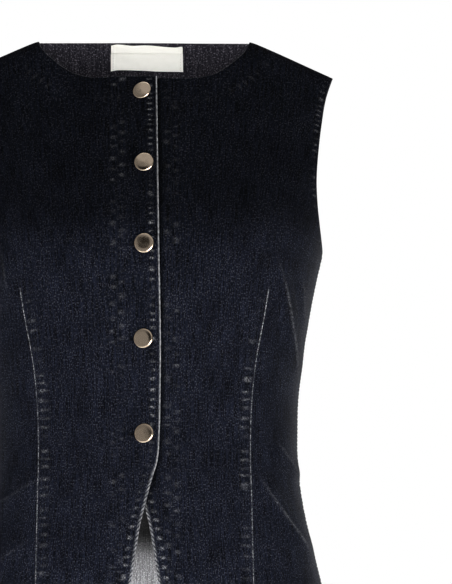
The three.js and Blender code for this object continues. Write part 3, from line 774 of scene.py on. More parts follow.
def frontPlaces():
    rows = panelRows(fronts["lowerRows"], fronts["upperRows"])
    dart = guideLine(False, rows, cut["frontDart"])
    guides = [
        (guideLine(False, rows, cut["frontEdge"]), evenShares(26, closeStart=nearEdge, width=39 * mm)),
        (guideLine(False, rows, cut["placket"]), evenShares(30)),
        (guideLine(False, rows, cut["frontMiddle"]), evenShares(20)),
        (dart, evenShares(4)),
        (movedOver(False, dart, cloth["dartEdge"] + 0.2 * mm), evenShares(34, closeEnd=nearEdge, width=52 * mm)),
        (sideLine(False, rows, cut["frontArmhole"]), None),
    ]
    return halfPanel(False, rows, guides)


backs = {"lowerRows": 170, "upperRows": 84, "columns": (36, 12), "flatShift": 3}  # its weave isn't the fronts'


def backPlaces(rows):
    dart = guideLine(True, rows, cut["backDart"])
    guides = [
        (guideLine(True, rows, cut["backEdge"]), evenShares(backs["columns"][0])),
        (guideLine(True, rows, cut["backMiddle"]), evenShares(backs["columns"][1])),
        (dart, evenShares(3)),
        (movedOver(True, dart, cloth["dartEdge"] + 0.2 * mm), evenShares(26, closeEnd=nearEdge, width=52 * mm)),
        (sideLine(True, rows, cut["backArmhole"]), None),
    ]
    return halfPanel(True, rows, guides)


def wholeBack(grid):  # both halves of the back, from the places of one
    left, right = clothAt(True, grid), clothAt(True, grid, isRight=True)
    flip = {**dict.fromkeys(("outer", "inner", "normal"), [-1, 1, 1]), "flat": [-1, 1]}
    right["flat"] = right["flat"] - [1, 0]
    whole = {key: np.concatenate([right[key][:0:-1] * flip[key], left[key]]) for key in flip}
    whole["flat"] = whole["flat"] + [backs["flatShift"], 0]
    fields = left["fields"].items()
    whole["fields"] = {key: np.concatenate([right["fields"][key][:0:-1], field]) for key, field in fields}
    return whole


def layerInside(panel, thickness):  # a layer against the inside of another
    shift = panel["normal"] * cut["seamGap"]
    outer = panel["inner"] - shift
    return {**panel, "outer": outer, "inner": outer - panel["normal"] * thickness}


# Buttons: flat metal caps with a sloping rim, on short shanks
button = {
    "count": 5,
    "start": -60.5 * mm,
    "spacing": 81.3 * mm,
    "radius": 8.6,
    "slope": 1.3,
    "rimCurve": [(1, 0), (0.72, 0.08), (0.46, 0.22), (0.25, 0.41), (0.1, 0.66), (0, 1)],  # shares of the slope
    "backCurve": [(0.03, 0.35), (0.3, 0.08), (0.7, 0)],  # in from the rim, up from the back
    "collar": [(3.4, 0), (3.1, 0.3)],  # radius, down from the back
    "thickness": 2.2,
    "stand": 3.6,
    "shank": 1.6,
    "dome": 0.3,
    "tilts": [(7, -20), (17, -8), (11, -8), (-11, -18), (-12, -17)],  # degrees that each looks down and to the left
    "slides": [-1.0, 0, 0, 0, 0.5],  # along its buttonhole
    "steps": 72,
}


def buttonFrames():
    start = placeAt(False, 0, button["start"])
    places = start + np.arange(0, 0.42, 0.2 * mm)[:, None] * [0, 1]
    points = torsoPoint(False, places)
    walked = walkedAlong(points)
    made = []
    for k in range(button["count"]):
        down = np.interp(k * button["spacing"], walked, places[:, 1])
        place = np.array([0.0, down])
        out = Vector(outward(False, place))
        across = Vector((1, 0, 0))
        axes = Matrix((across, out.cross(across), out)).transposed()
        made.append(Matrix.Translation(torsoPoint(False, place)) @ axes.to_4x4())
    return made


buttonPlaces = buttonFrames()

# Buttonholes: slits that the shanks hold open, pointing away from the edge
buttonhole = {
    "start": -2.2 * mm,  # from the shank's middle
    "end": 12.2 * mm,
    "halfWidth": 1.8 * mm,
    "halfWidthShut": 0.25 * mm,
    "narrowing": 7.5 * mm,
    "spread": 8,  # rows above and below that make room
    "stitchLength": 1.6,
    "stitchWidth": 0.5,
    "stitchHeight": 0.45,
    "stitchPitch": 0.45 * mm,
    "overEdge": 0.15 * mm,  # how far the stitches reach over the slit's edge, and at its ends
    "overEnd": 0.1 * mm,
    "endTurn": 75,
    "endStitches": 9,
    "endWidth": 0.8,
}


def slitHalfWidth(across):
    shut = smoothStep((across - buttonhole["halfWidth"]) / buttonhole["narrowing"])
    return mix(buttonhole["halfWidth"], buttonhole["halfWidthShut"], shut)


def openButtonholes(grid):  # moves the rows beside each slit apart and names the cells to leave out
    holes = []
    middle = np.argmin(np.abs(torsoPoint(False, grid[:, 0])[:, 0]))
    columns = np.arange(len(grid))
    for place in buttonPlaces:
        height = place.translation.z
        point = torsoPoint(False, grid)
        row = np.searchsorted(point[middle, :, 2], height) - 1
        across = point[:, row, 0]
        start = np.searchsorted(across, buttonhole["start"]) - 1
        end = np.searchsorted(across, buttonhole["end"])
        fade = 1 - smoothStep(np.maximum(start - columns, columns - end) / 5)
        low = (height - slitHalfWidth(across) - point[:, row, 2]) * fade
        high = (height + slitHalfWidth(across) - point[:, row + 1, 2]) * fade
        for k in range(buttonhole["spread"]):
            ease = 1 - smoothStep(k / buttonhole["spread"])
            for there, shift in ((row - k, low), (row + 1 + k, high)):
                isMoved = fade > 0
                moved = placeAt(False, point[isMoved, there, 0], (point[:, there, 2] + shift * ease)[isMoved])
                grid[isMoved, there] = moved
        holes.append((start, end, row))
    return holes


# Stitches: slim beads between two places on the cloth
stitch = {"length": 2.9 * mm, "pitch": 3.5 * mm, "width": 0.55, "height": 0.4, "sunk": 0.25, "sides": 6, "rings": 4}


def beadFrames(first, last, normals, width, height):
    frames = []
    for a, b, normal in zip(first, last, normals):
        along = Vector(b - a)
        out = (Vector(normal) - along.normalized() * along.normalized().dot(Vector(normal))).normalized()
        side = out.cross(along).normalized()
        axes = Matrix((side * width * mm / 2, out * height * mm / 2, along / 2)).transposed()
        middle = Vector((a + b) / 2) + out * height * mm * stitch["sunk"]
        frames.append(Matrix.Translation(middle) @ axes.to_4x4())
    return frames


def stitchFrames(isBack, isUpper, starts, ends, width, height):
    panel = clothAt(isBack, np.concatenate([starts, ends]), isUpper)
    return beadFrames(*np.split(panel["outer"], 2), panel["normal"], width, height)


def stitchRun(isBack, isUpper, line):  # a row of stitches along a line of places
    points = torsoPoint(isBack, line)
    walked = walkedAlong(points)
    middles = np.arange(stitch["pitch"], walked[-1] - stitch["pitch"] / 2, stitch["pitch"])
    ends = [
        np.stack([np.interp(middles + half, walked, line[:, k]) for k in range(2)], -1)
        for half in (-stitch["length"] / 2, stitch["length"] / 2)
    ]
    return stitchFrames(isBack, isUpper, *ends, stitch["width"], stitch["height"])


def buttonholeStitches(place):
    shape = buttonhole
    height = place.translation.z
    across = np.arange(shape["start"], shape["end"], shape["stitchPitch"])
    starts, ends = [], []
    for way in (-1, 1):
        for reach, into in ((-shape["overEdge"], starts), (shape["stitchLength"] * mm, ends)):
            into.append(placeAt(False, across, height + way * (slitHalfWidth(across) + reach)))
    turns = np.linspace(-shape["endTurn"], shape["endTurn"], shape["endStitches"]) * math.pi / 180
    for edge, way in ((shape["start"], -1), (shape["end"], 1)):
        for reach, into in ((shape["overEnd"], starts), (shape["stitchLength"] * mm, ends)):
            wide = slitHalfWidth(edge) * shape["endWidth"] + reach
            into.append(placeAt(False, edge + way * reach * np.cos(turns), height + wide * np.sin(turns)))
    sizes = shape["stitchWidth"], shape["stitchHeight"]
    return stitchFrames(False, True, np.concatenate(starts), np.concatenate(ends), *sizes)


def makeStitches(name, frames, material, mirrored=False):
    mesh = bpy.data.meshes.new(name)
    whole = bmesh.new()
    for group in np.array_split(np.arange(len(frames)), 1 + len(frames) // 60):
        bm = bmesh.new()
        for k in group:
            bmesh.ops.create_uvsphere(
                bm, u_segments=stitch["sides"], v_segments=stitch["rings"], radius=1, matrix=frames[k]
            )
        bm.to_mesh(mesh)
        bm.free()
        whole.from_mesh(mesh)
    if mirrored:
        bmesh.ops.scale(whole, verts=whole.verts, vec=(-1, 1, 1))
    bmesh.ops.recalc_face_normals(whole, faces=whole.faces)
    whole.to_mesh(mesh)
    whole.free()
    mesh.shade_smooth()
    mesh.materials.append(material)
    print(name, "has", len(frames), "stitches")
    return addObject(name, mesh)


# Shader helpers
def addNode(tree, kind, inputs=None, **settings):
    made = tree.nodes.new(kind)
    for key, value in settings.items():
        setattr(made, key, value)
    for key, value in (inputs or {}).items():
        if isinstance(value, bpy.types.NodeSocket):
            tree.links.new(value, made.inputs[key])
        else:
            made.inputs[key].default_value = value
    return made


def calc(tree, operation, a, b=0.0, c=0.0, clamp=False):
    made = addNode(tree, "ShaderNodeMath", {0: a, 1: b, 2: c}, operation=operation, use_clamp=clamp)
    return made.outputs[0]


def times(tree, product, *factors):
    for factor in factors:
        product = calc(tree, "MULTIPLY", product, factor)
    return product


def blend(tree, a, b, share):
    return calc(tree, "MULTIPLY_ADD", calc(tree, "SUBTRACT", b, a), share, a)


def ramp(tree, value, low, high, fromLow=0.0, fromHigh=1.0):  # a smooth step between two values
    inputs = {"Value": value, "From Min": fromLow, "From Max": fromHigh, "To Min": low, "To Max": high}
    return addNode(tree, "ShaderNodeMapRange", inputs, interpolation_type="SMOOTHSTEP").outputs["Result"]


def rise(tree, value, ends):
    return ramp(tree, value, 0.0, 1.0, *ends)


def fall(tree, value, ends):
    return ramp(tree, value, 1.0, 0.0, *ends)


def nearness(tree, off, width):  # 1 on a line, and less beside it
    off = calc(tree, "DIVIDE", off, width)
    return calc(tree, "POWER", math.e, times(tree, off, off, -1.0))


def parts(tree, vector):
    return addNode(tree, "ShaderNodeSeparateXYZ", {0: vector}).outputs


def mixColors(tree, share, a, b):
    made = addNode(tree, "ShaderNodeMix", {0: share, 6: a, 7: b}, data_type="RGBA")
    return made.outputs[2]


def scaled(tree, color, amount):
    return addNode(tree, "ShaderNodeVectorMath", {0: color, "Scale": amount}, operation="SCALE").outputs[0]


def newGroup(name, vectors, values, results):
    group = bpy.data.node_groups.new(name, "ShaderNodeTree")
    sockets = [("INPUT", "Vector", vectors), ("INPUT", "Float", values), ("OUTPUT", "Float", results)]
    for direction, kind, labels in sockets:
        for label in labels:
            group.interface.new_socket(label, in_out=direction, socket_type="NodeSocket" + kind)
    return group, group.nodes.new("NodeGroupInput").outputs, group.nodes.new("NodeGroupOutput").inputs


def useGroup(tree, name, inputs):
    return addNode(tree, "ShaderNodeGroup", inputs, node_tree=groups[name]).outputs


def noise(tree, flat, look):  # size across and along in millimetres, detail, seed
    across, along, detail, seed = look
    scale = (1 / (across * mm), 1 / (along * mm), 1)
    place = addNode(tree, "ShaderNodeMapping", {"Vector": flat, "Scale": scale}).outputs[0]
    moved = addNode(tree, "ShaderNodeVectorMath", {0: place, 1: (seed, seed * 2, seed)}, operation="ADD").outputs[0]
    return addNode(tree, "ShaderNodeTexNoise", {"Vector": moved, "Scale": 1.0, "Detail": detail}).outputs["Fac"]


def plainNoise(tree, place, scale, detail):
    return addNode(tree, "ShaderNodeTexNoise", {"Vector": place, "Scale": scale, "Detail": detail}).outputs["Fac"]


weave = {
    "noises": {  # size across and along in millimetres, detail, seed
        "streak": (1.1, 21, 1.0, 0.0),
        "fine": (0.9, 1.8, 0.0, 7.0),
        "fleck": (1.05, 1.25, 0.0, 13.0),
        "cloud": (24, 34, 3.0, 21.0),
        "thread": (0.45, 3.5, 1.0, 17.0),
    },
    "uneven": {"streak": 3.2, "fine": 1.8, "cloud": 1.0, "thread": 0.5},
    "relief": {"thread": 0.8, "streak": 1.1},
    "twillRelief": 0.2,
    "twillSlope": 0.62,
    "twillPitch": 0.7 * mm,
    "fleckEnds": (0.57, 0.78),
    "darkest": 0.2,
}


def weaveGroup():  # threads of the denim: uneven warp streaks, pale flecks of weft and the twill's diagonal
    group, given, result = newGroup("weave", ["Flat"], ["Contrast"], ["Tone", "Fleck", "Height", "Cloud"])
    made = {key: noise(group, given["Flat"], look) for key, look in weave["noises"].items()}
    way = parts(group, given["Flat"])
    diagonal = calc(group, "MULTIPLY_ADD", way["Y"], weave["twillSlope"], way["X"])
    twill = calc(group, "SINE", times(group, diagonal, 2 * math.pi / weave["twillPitch"]))
    height = times(group, twill, weave["twillRelief"])
    for key, share in weave["relief"].items():
        height = calc(group, "MULTIPLY_ADD", made[key], share, height)
    uneven = -sum(weave["uneven"].values()) / 2  # each noise is about its middle
    for key, amount in weave["uneven"].items():
        uneven = calc(group, "MULTIPLY_ADD", made[key], amount, uneven)
    tone = calc(group, "MULTIPLY_ADD", uneven, given["Contrast"], 1.0)
    group.links.new(calc(group, "MAXIMUM", tone, weave["darkest"]), result["Tone"])
    group.links.new(rise(group, made["fleck"], weave["fleckEnds"]), result["Fleck"])
    group.links.new(height, result["Height"])
    group.links.new(made["cloud"], result["Cloud"])
    return group


ladder = {"columnShift": 480, "crestEnds": (0.1, 1.0)}  # radians for each metre between the placket's columns


def ladderGroup():  # rubbed crests of the puckers beside a seam
    group, given, result = newGroup("ladder", ["Seam"], ["Offset", "Width", "Columns"], ["Crest"])
    seam = parts(group, given["Seam"])
    off = calc(group, "SUBTRACT", seam["X"], given["Offset"])
    near = nearness(group, calc(group, "SUBTRACT", calc(group, "ABSOLUTE", off), given["Columns"]), given["Width"])
    shift = times(group, calc(group, "SIGN", off), given["Columns"], ladder["columnShift"])
    crest = rise(group, calc(group, "SINE", calc(group, "ADD", seam["Y"], shift)), ladder["crestEnds"])
    group.links.new(times(group, crest, near, seam["Z"]), result["Crest"])
    return group


def lineGroup():  # a thin pale line at a distance from an edge or crease, for wear and for painted highlight
    group, given, result = newGroup("paleLine", [], ["Away", "Offset", "Width"], ["Line"])
    off = calc(group, "SUBTRACT", given["Away"], given["Offset"])
    group.links.new(nearness(group, off, given["Width"]), result["Line"])
    return group


groups = {"weave": weaveGroup(), "ladder": ladderGroup(), "line": lineGroup()}


def attributeParts(tree, name):
    return parts(tree, addNode(tree, "ShaderNodeAttribute", attribute_name=name).outputs["Vector"])


def flatCoordinates(tree):
    return addNode(tree, "ShaderNodeUVMap", uv_map="flat").outputs[0]


def objectCoordinates(tree):
    return addNode(tree, "ShaderNodeTexCoord").outputs["Object"]


def startMaterial(name, roughness, specular=0.5):
    material = bpy.data.materials.new(name)
    material.use_nodes = True
    shader = material.node_tree.nodes["Principled BSDF"].inputs
    shader["Roughness"].default_value = roughness
    shader["Specular IOR Level"].default_value = specular
    return material, material.node_tree, shader


def finishMaterial(tree, shader, color, height, relief):
    tree.links.new(color, shader["Base Color"])
    made = addNode(tree, "ShaderNodeBump", {"Height": height, "Distance": relief, "Strength": 1.0})
    tree.links.new(made.outputs[0], shader["Normal"])


denim = {
    "dye": (0.0043, 0.0051, 0.0087, 1),
    "fleck": (0.062, 0.063, 0.076, 1),
    # pale colour of wear, also used for the painted highlight along the front edge
    "wearAndPaintedLight": (0.42, 0.42, 0.435, 1),
    "contrast": 1.1,
    "fleckShare": 1.1,
    "roughness": 0.92,
    "specular": 0.04,
    "relief": 0.25 * mm,
    "chestShade": 0.5,  # painted shade: the share of its brightness that the denim keeps above the bust, where the chest slopes up from the low lamps
    "chestShadeEnds": (-0.215, -0.165),
    "paleHem": 1.2,
    "hemEnds": (-0.52, -0.40),
    "overlapShade": 0.35,  # the share that it keeps beside the edge that lies over it
    "overlapEnds": (1.2 * mm, 5.5 * mm),
    "rubs": {
        "frontEdge": 0.17,
        "placket": 0.045,
        "armhole": 0.09,
        "side": 0.065,
        "dart": 0.12,
        "hem": 0.12,
        "neck": 0.03,
    },
}
wearAndPaintedLight = {
    "lines": {  # attribute, its part, distance from the edge and width in millimetres
        "dart": ("dart", "X", -0.1, 0.55),
        "crease": ("crease", "X", 0.0, 1.1),
        "edge": ("edge", "X", 0.1, 0.7),
        "shoulder": ("edge", "Y", 0.1, 0.6),
        "frontEdge": ("frontEdge", "X", 0.35, 0.75),
        "lowerEdge": ("frontEdge", "X", 0.9, 1.2),
    },
    "creaseShare": 0.09,
    "edgeShare": 0.12,
    "shoulderShare": 0.08,
    "dartTop": (-0.249, -0.241),
    "dartGlow": (0.26, 0.45, -0.31, -0.27),  # the dart's line is brightest at its top: shares, heights
    "grain": ((1.1, 1.25, 0.0, 31.0), (0.1, 1.9, 0.3, 0.72)),  # noise, and what its values become
    "patches": ((5, 4, 1.0, 53.0), (0.25, 1.3, 0.35, 0.6)),
    "edgeGrain": ((1.3, 3.2, 1.0, 41.0), (0.45, 1.25, 0.3, 0.7)),
    "nickDepth": (0.8, 0.0, -0.415, -0.39),
    "nickEnds": (-0.6, 0.7),
    "edgeBright": (0.5, 0.45, 0.0, 0.8),
}


def wearAndHighlightPlaces(tree, flat, height):  # worn crests, edges, the dart's line and the creases, and the front edge's line of wear and painted highlight, as one mask
    def line(key):
        name, part, offset, width = wearAndPaintedLight["lines"][key]
        away = attributeParts(tree, name)
        given = {"Away": away[part], "Offset": offset * mm, "Width": width * mm}
        return useGroup(tree, "line", given)["Line"], away["Z"]

    def grain(key):
        look, levels = wearAndPaintedLight[key]
        return ramp(tree, noise(tree, flat, look), *levels)

    crease, creaseStrength = line("crease")
    dartShown = times(tree, fall(tree, height, wearAndPaintedLight["dartTop"]), ramp(tree, height, *wearAndPaintedLight["dartGlow"]))
    masks = [
        times(tree, line("dart")[0], dartShown),
        times(tree, crease, creaseStrength, wearAndPaintedLight["creaseShare"]),
        times(tree, line("edge")[0], wearAndPaintedLight["edgeShare"]),
        times(tree, line("shoulder")[0], wearAndPaintedLight["shoulderShare"]),
    ]
    for key, strength in denim["rubs"].items():
        kind = puckers[key]
        given = {"Seam": addNode(tree, "ShaderNodeAttribute", attribute_name=key).outputs["Vector"]}
        given.update({"Offset": kind["offset"] * mm, "Width": kind["width"] * mm})
        given["Columns"] = placketColumns if key == "placket" else 0.0
        masks.append(times(tree, useGroup(tree, "ladder", given)["Crest"], strength))
    rub = masks[0]
    for mask in masks[1:]:
        rub = calc(tree, "MAXIMUM", rub, mask)
    slanted = calc(tree, "MULTIPLY_ADD", attributeParts(tree, "frontEdge")["X"], cloth["nickSlant"], height)
    nicks = calc(tree, "SINE", times(tree, slanted, -2 * math.pi / cloth["nick"]))
    depth = ramp(tree, height, *wearAndPaintedLight["nickDepth"])
    nicks = calc(tree, "SUBTRACT", 1.0, times(tree, rise(tree, nicks, wearAndPaintedLight["nickEnds"]), depth))
    # the bright line along the front edge: part wear, part painted highlight on the edge that lies over the other
    # front
    edgeLine = calc(tree, "MAXIMUM", line("frontEdge")[0], times(tree, line("lowerEdge")[0], depth))
    edgeLine = times(tree, edgeLine, nicks, grain("edgeGrain"), ramp(tree, depth, *wearAndPaintedLight["edgeBright"]))
    return calc(tree, "MAXIMUM", times(tree, rub, grain("grain"), grain("patches")), edgeLine, clamp=True)


def denimMaterial(name, look):
    material, tree, shader = startMaterial(name, look["roughness"], look["specular"])
    flat = flatCoordinates(tree)
    weave = useGroup(tree, "weave", {"Flat": flat, "Contrast": look["contrast"]})
    height = parts(tree, flat)["Y"]
    overlap = attributeParts(tree, "edge")["Z"]
    # painted shade above the bust and painted shadow beside the edge that lies over it, with a paler hem
    paintedShadeAndPaleHem = times(
        tree,
        ramp(tree, height, 1.0, look["chestShade"], *look["chestShadeEnds"]),
        ramp(tree, height, look["paleHem"], 1.0, *look["hemEnds"]),
        ramp(tree, overlap, look["overlapShade"], 1.0, *look["overlapEnds"]),
    )
    dye = addNode(tree, "ShaderNodeRGB").outputs[0]
    dye.default_value = look["dye"]
    color = scaled(tree, dye, times(tree, weave["Tone"], paintedShadeAndPaleHem))
    fleck = times(tree, weave["Fleck"], weave["Cloud"], look["fleckShare"])
    color = mixColors(tree, calc(tree, "MULTIPLY", fleck, paintedShadeAndPaleHem, clamp=True), color, look["fleck"])
    color = mixColors(tree, wearAndHighlightPlaces(tree, flat, height), color, look["wearAndPaintedLight"])
    finishMaterial(tree, shader, color, weave["Height"], look["relief"])
    return material


wrongSide = {
    "dark": (0.045, 0.045, 0.051, 1),
    "pale": (0.52, 0.52, 0.535, 1),
    "inner": 0.1,  # painted shadow: the share of its brightness that it keeps behind the end of the closed front
    "shadowBehindFrontEnds": (-0.476, -0.446),
    "upper": 0.5,  # painted shade: the share it keeps further up, inside the body
    "insideShadeEnds": (-0.42, -0.34),
    "range": (-0.1, 2.3),
    "contrast": 0.4,
    "flecks": 1.8,
    "roughness": 0.9,
    "specular": 0.15,
    "relief": 0.3 * mm,
}
facingDenim = {
    **wrongSide,
    "dark": (0.016, 0.015, 0.020, 1),
    "pale": (0.135, 0.128, 0.148, 1),
    "inner": 1.0,
    "upper": 1.0,
    "range": (0.6, 3.4),
    "contrast": 0.7,
    "flecks": 2.0,
    "roughness": 0.92,
    "specular": 0.04,
}


def wrongSideMaterial(name, look):  # the inside, where the pale weft shows
    material, tree, shader = startMaterial(name, look["roughness"], look["specular"])
    flat = flatCoordinates(tree)
    weave = useGroup(tree, "weave", {"Flat": flat, "Contrast": look["contrast"]})
    tone = calc(tree, "MULTIPLY_ADD", weave["Fleck"], look["flecks"], weave["Tone"])
    color = mixColors(tree, rise(tree, tone, look["range"]), look["dark"], look["pale"])
    height = parts(tree, flat)["Y"]
    # painted shadow behind the end of the closed front, and painted shade higher up inside
    paintedInsideShade = ramp(tree, height, 1.0, look["inner"], *look["shadowBehindFrontEnds"])
    paintedInsideShade = calc(tree, "MAXIMUM", paintedInsideShade, ramp(tree, height, 0.0, look["upper"], *look["insideShadeEnds"]))
    finishMaterial(tree, shader, scaled(tree, color, paintedInsideShade), weave["Height"], look["relief"])
    return material


tape = {
    "color": (0.92, 0.91, 0.86, 1),
    "shade": (0.84, 0.83, 0.77, 1),
    "shadeEnds": (0.0, 0.6, 0.4, 0.9),
    # painted shade: the grey that the label's top is mixed towards, over the heights below
    "wearAndPaintedLight": (0.71, 0.7, 0.655, 1),
    "paintedShadeUp": (-9 * mm, 5 * mm),
    "roughness": 0.75,
    "specular": 0.3,
    "ribs": (9, 0.35, 1.0, 3.0),  # size across and along in millimetres, detail, seed
    "cloud": (8, 6, 2.0, 9.0),
    "relief": 0.12 * mm,
}
thread = {
    "color": (0.0032, 0.0036, 0.0058, 1),
    "worn": (0.008, 0.009, 0.013, 1),
    "wornEnds": (0.0, 1.0, 0.4, 0.75),
    "roughness": 0.75,
    "specular": 0.08,
    "twist": 2600.0,
    "uneven": 220.0,
    "relief": 0.1 * mm,
}
paleThread = {
    **thread,
    "color": (0.66, 0.65, 0.60, 1),
    "worn": (0.5, 0.49, 0.44, 1),
    "roughness": 0.6,
    "specular": 0.3,
}
metal = {
    "color": (0.67, 0.555, 0.44, 1),
    "dull": (0.52, 0.425, 0.33, 1),
    "dullEnds": (0.0, 0.5, 0.4, 0.8),
    "roughness": (0.12, 0.26),
    "roughnessEnds": (0.35, 0.75),
    "haze": 130.0,
    "scratches": (260, 260, 2600),
    "relief": 0.0015 * mm,
}


def tapeLook(name, look):  # close satin weave with faint ribs across, with painted shade greying its top
    material, tree, shader = startMaterial(name, look["roughness"], look["specular"])
    flat = flatCoordinates(tree)
    shade = ramp(tree, noise(tree, flat, look["cloud"]), *look["shadeEnds"])
    color = mixColors(tree, shade, look["color"], look["shade"])
    up = parts(tree, objectCoordinates(tree))["Z"]
    # painted shade, greyer towards the top
    color = mixColors(tree, rise(tree, up, look["paintedShadeUp"]), color, look["wearAndPaintedLight"])
    finishMaterial(tree, shader, color, noise(tree, flat, look["ribs"]), look["relief"])
    return material


def threadLook(name, look):  # twisted sewing thread
    material, tree, shader = startMaterial(name, look["roughness"], look["specular"])
    place = objectCoordinates(tree)
    worn = ramp(tree, plainNoise(tree, place, look["uneven"], 2.0), *look["wornEnds"])
    color = mixColors(tree, worn, look["color"], look["worn"])
    finishMaterial(tree, shader, color, plainNoise(tree, place, look["twist"], 1.0), look["relief"])
    return material


def metalLook(name, look):  # polished plate with a faint haze and hair scratches
    material, tree, shader = startMaterial(name, look["roughness"][0])
    shader["Metallic"].default_value = 1
    place = objectCoordinates(tree)
    haze = plainNoise(tree, place, look["haze"], 4.0)
    tree.links.new(ramp(tree, haze, *look["roughness"], *look["roughnessEnds"]), shader["Roughness"])
    color = mixColors(tree, ramp(tree, haze, *look["dullEnds"]), look["color"], look["dull"])
    squeezed = addNode(tree, "ShaderNodeMapping", {"Vector": place, "Scale": look["scratches"]}).outputs[0]
    finishMaterial(tree, shader, color, plainNoise(tree, squeezed, 1.0, 2.0), look["relief"])
    return material


addCamera()
addStudio()
print("camera and studio are set")

faceMaterial = denimMaterial("denim", denim)
insideMaterial = wrongSideMaterial("wrongSide", wrongSide)
facingMaterial = wrongSideMaterial("facingDenim", facingDenim)
tapeMaterial = tapeLook("labelTape", tape)
metalMaterial = metalLook("paleGold", metal)
threadMaterial = threadLook("denimThread", thread)
paleThreadMaterial = threadLook("labelThread", paleThread)
print("materials are made")

for side, isUpper in (("left", False), ("right", True)):
    frontGrid = frontPlaces()
    holes = openButtonholes(frontGrid) if isUpper else []
    panel = clothAt(False, frontGrid, isUpper)
    piece = makeWall(side + "Front", panel, [faceMaterial, insideMaterial], isUpper, holes)
    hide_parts(side + "_front")
    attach(piece, "root")
print("fronts are made")


belowTip, besideShoulder = 4 * mm, 6 * mm  # where the dart's stitches start, and the shoulder's lie


def sewnLines(isBack):  # where the panels are topstitched
    lines = seams[isBack]
    dartLow = torsoPoint(isBack, lines["dart"])[:, 2] < cutOf(isBack, "DartTip") - belowTip
    rows = [(key, lines[key], 1) for key in ("armhole", "hem")]
    rows += [("dart", lines["dart"][dartLow], 1), ("side", lines["side"], 1), ("neck", lines["neck"], -1)]
    if not isBack:
        rows.append(("frontEdge", lines["frontEdge"][:-1], -1))
        rows.append(("placket", guideLine(False, lineRows[:-4], cut["placket"]), 1))
    made = [offsetLine(isBack, line, way * puckers[key]["offset"] * mm) for key, line, way in rows]
    return made + ([offsetLine(True, lines["shoulder"], -besideShoulder)] if isBack else [])


def addStitches(name, frames, mirrored=False, material=threadMaterial):
    piece = makeStitches(name, frames, material, mirrored)
    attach(piece, "root")


for side, isUpper in (("left", False), ("right", True)):
    frames = [each for line in sewnLines(False) for each in stitchRun(False, isUpper, line)]
    if isUpper:
        frames += [each for place in buttonPlaces for each in buttonholeStitches(place)]
    addStitches(side + "Stitches", frames, isUpper)

backGrid = backPlaces(panelRows(backs["lowerRows"], backs["upperRows"]))
panel = wholeBack(backGrid)
piece = makeWall("backPanel", panel, [faceMaterial, insideMaterial])
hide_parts("back")
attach(piece, "root")
sewn = sewnLines(True)
halves = [[each for line in sewn for each in stitchRun(True, isRight, line)] for isRight in (False, True)]
flip = Matrix.Scale(-1, 4, (1, 0, 0))
addStitches("backStitches", halves[0] + [flip @ each for each in halves[1]])
print("back is made")

# Neck facing: the same denim, right side out, inside the back of the neck
facing = {"foot": 1.788, "top": 1.985, "rows": 30, "closeRows": [1.1, 0.5, 0.2, 0]}  # millimetres from the edge
closeRows = 2 - np.array(facing["closeRows"]) * mm / upperLength
facingRows = np.concatenate([np.linspace(facing["foot"], facing["top"], facing["rows"]), closeRows])
facingHalf = backPlaces(facingRows)[: sum(backs["columns"]) + 1]
panel = layerInside(wholeBack(facingHalf), cloth["single"])
piece = makeWall("neckFacing", panel, [facingMaterial])
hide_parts("back_neck_facing")
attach(piece, "root")

# Label: blank woven tape with folded ends, a little off centre and not quite flat
label = {
    "centre": 2.4 * mm,
    "width": 69.5 * mm,
    "top": -2.2 * mm,  # below the neck edge
    "height": 25.2 * mm,
    "thickness": 0.7 * mm,
    "foldedEnd": 3.4 * mm,
    "foldRise": 0.35 * mm,
    "buckle": 0.9 * mm,
    "foldEase": 0.4 * mm,
    "buckleEase": 6 * mm,
    "buckleSteps": (4, 0.8),
    "buckleSeed": 37,
    "topWave": [  # share of the way across, rise
        (-0.5, 0.5), (-0.42, 1.6), (-0.2, 0.2), (0.0, 0.5), (0.25, -0.8), (0.4, -1.2), (0.47, -0.3), (0.5, -0.5),
    ],
    "footWave": [(-0.5, -0.2), (-0.4, 0.9), (-0.1, 0.5), (0.15, -0.3), (0.5, -0.6)],
    "cells": (120, 40),
    "stitches": 9,  # up each end
    "stitchColumns": (4, 116),
    "stitchWidth": 0.45,
    "stitchHeight": 0.35,
}


def labelPanel(shape):
    columns, rows = shape["cells"]
    s, t = np.meshgrid(np.linspace(-0.5, 0.5, columns + 1), np.linspace(0, 1, rows + 1), indexing="ij")
    across = shape["centre"] + s * shape["width"]
    wave = mix(*(curveThrough(np.array(shape[key]) * [1, mm])(s)[..., 0] for key in ("footWave", "topWave")), t)
    below = shape["top"] - (1 - t) * shape["height"] + wave

    def aboveLine(place):
        point = torsoPoint(True, place)
        return point[..., 2] - torso["neckTilt"] * point[..., 1] - below

    place = placeWhere(across, aboveLine)
    half = np.sign(across)[..., None]  # the seams are known for one half, so the other is mirrored
    under = clothAt(True, place * np.concatenate([half, np.ones(half.shape)], -1))
    under = {key: under[key] * np.where(half < 0, [-1, 1, 1], 1) for key in ("inner", "normal")}
    fromEnd = shape["width"] / 2 - np.abs(s) * shape["width"]
    folded = 1 - smoothStep((fromEnd - shape["foldedEnd"]) / shape["foldEase"])
    byColumn, byRow = shape["buckleSteps"]
    uneven = 0.5 + 0.5 * wander(s * byColumn + t * byRow, 1, shape["buckleSeed"])
    buckle = shape["buckle"] * uneven * smoothStep(fromEnd / shape["buckleEase"])
    lift = cut["seamGap"] * 2 + cloth["single"] + buckle
    outer = under["inner"] - under["normal"] * lift[..., None]
    thickness = shape["thickness"] + shape["foldRise"] * folded
    inner = outer - under["normal"] * thickness[..., None]
    flat = np.stack([across, below], -1)
    return {"outer": outer, "inner": inner, "normal": under["normal"], "fields": {}, "flat": flat}


def labelStitches(panel, shape):  # a row up each folded end
    frames = []
    rows = np.linspace(0, shape["cells"][1], shape["stitches"] * 4 + 1).astype(int)
    for column in shape["stitchColumns"]:
        first, last = panel["inner"][column, rows[1::4]], panel["inner"][column, rows[3::4]]
        normals = -panel["normal"][column, rows[1::4]]
        frames += beadFrames(first, last, normals, shape["stitchWidth"], shape["stitchHeight"])
    return frames


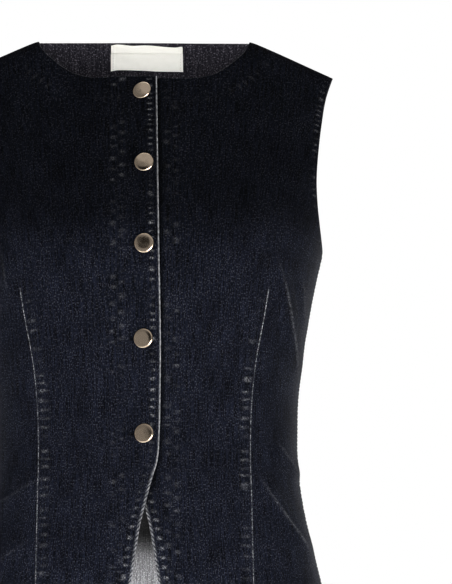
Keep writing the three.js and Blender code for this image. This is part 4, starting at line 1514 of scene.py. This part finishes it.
panel = labelPanel(label)
piece = makeWall("wovenLabel", panel, [tapeMaterial])
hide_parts("label")
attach(piece, "root")
addStitches("labelStitches", labelStitches(panel, label), False, paleThreadMaterial)
print("neck facing and label are made")


def makeButton(name, frame, tilt, slide):
    gap = cut["seamGap"] / mm
    base = gap + cloth["double"] / mm
    back = base + button["stand"]
    top = back + button["thickness"]
    radius, slope, dome, shank = (button[key] for key in ("radius", "slope", "dome", "shank"))
    face = top - dome
    profile = [
        (0, top),
        (0.4, top - dome * 0.03),
        (radius * 0.5, top - dome * 0.5),
        *[(radius - slope * inwards, face - slope * down) for inwards, down in button["rimCurve"]],
        *[(radius - inwards, back + up) for inwards, up in button["backCurve"]],
        *[(at, back - down) for at, down in button["collar"]],
        (shank + 0.3, back - 0.4),
        (shank, back - 0.6),
        (shank, gap),
        (0, gap),
    ]
    bm = bmesh.new()
    points = [bm.verts.new((r * mm, 0, h * mm)) for r, h in profile]
    line = [bm.edges.new(pair) for pair in zip(points, points[1:])]
    around = {"axis": (0, 0, 1), "cent": (0, 0, 0), "angle": 2 * math.pi, "steps": button["steps"]}
    bmesh.ops.spin(bm, geom=points + line, use_merge=True, **around)
    bmesh.ops.remove_doubles(bm, verts=bm.verts, dist=0.01 * mm)
    bmesh.ops.recalc_face_normals(bm, faces=bm.faces)
    turn = Matrix.Rotation(math.radians(tilt[0]), 4, "X") @ Matrix.Rotation(math.radians(tilt[1]), 4, "Y")
    frame = frame @ Matrix.Translation((slide * mm, 0, 0))
    pivot = Matrix.Translation((0, 0, base * mm))  # the shank leans where it passes the buttonhole
    bmesh.ops.transform(bm, matrix=frame @ pivot @ turn @ pivot.inverted(), verts=bm.verts)
    mesh = bpy.data.meshes.new(name)
    bm.to_mesh(mesh)
    bm.free()
    mesh.shade_smooth()
    mesh.materials.append(metalMaterial)
    return addObject(name, mesh)


for k, (place, tilt, slide) in enumerate(zip(buttonPlaces, button["tilts"], button["slides"]), 1):
    piece = makeButton(f"shankButton{k}", place, tilt, slide)
    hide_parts(f"button_{k}")
    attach(piece, "root")
print("buttons are made")
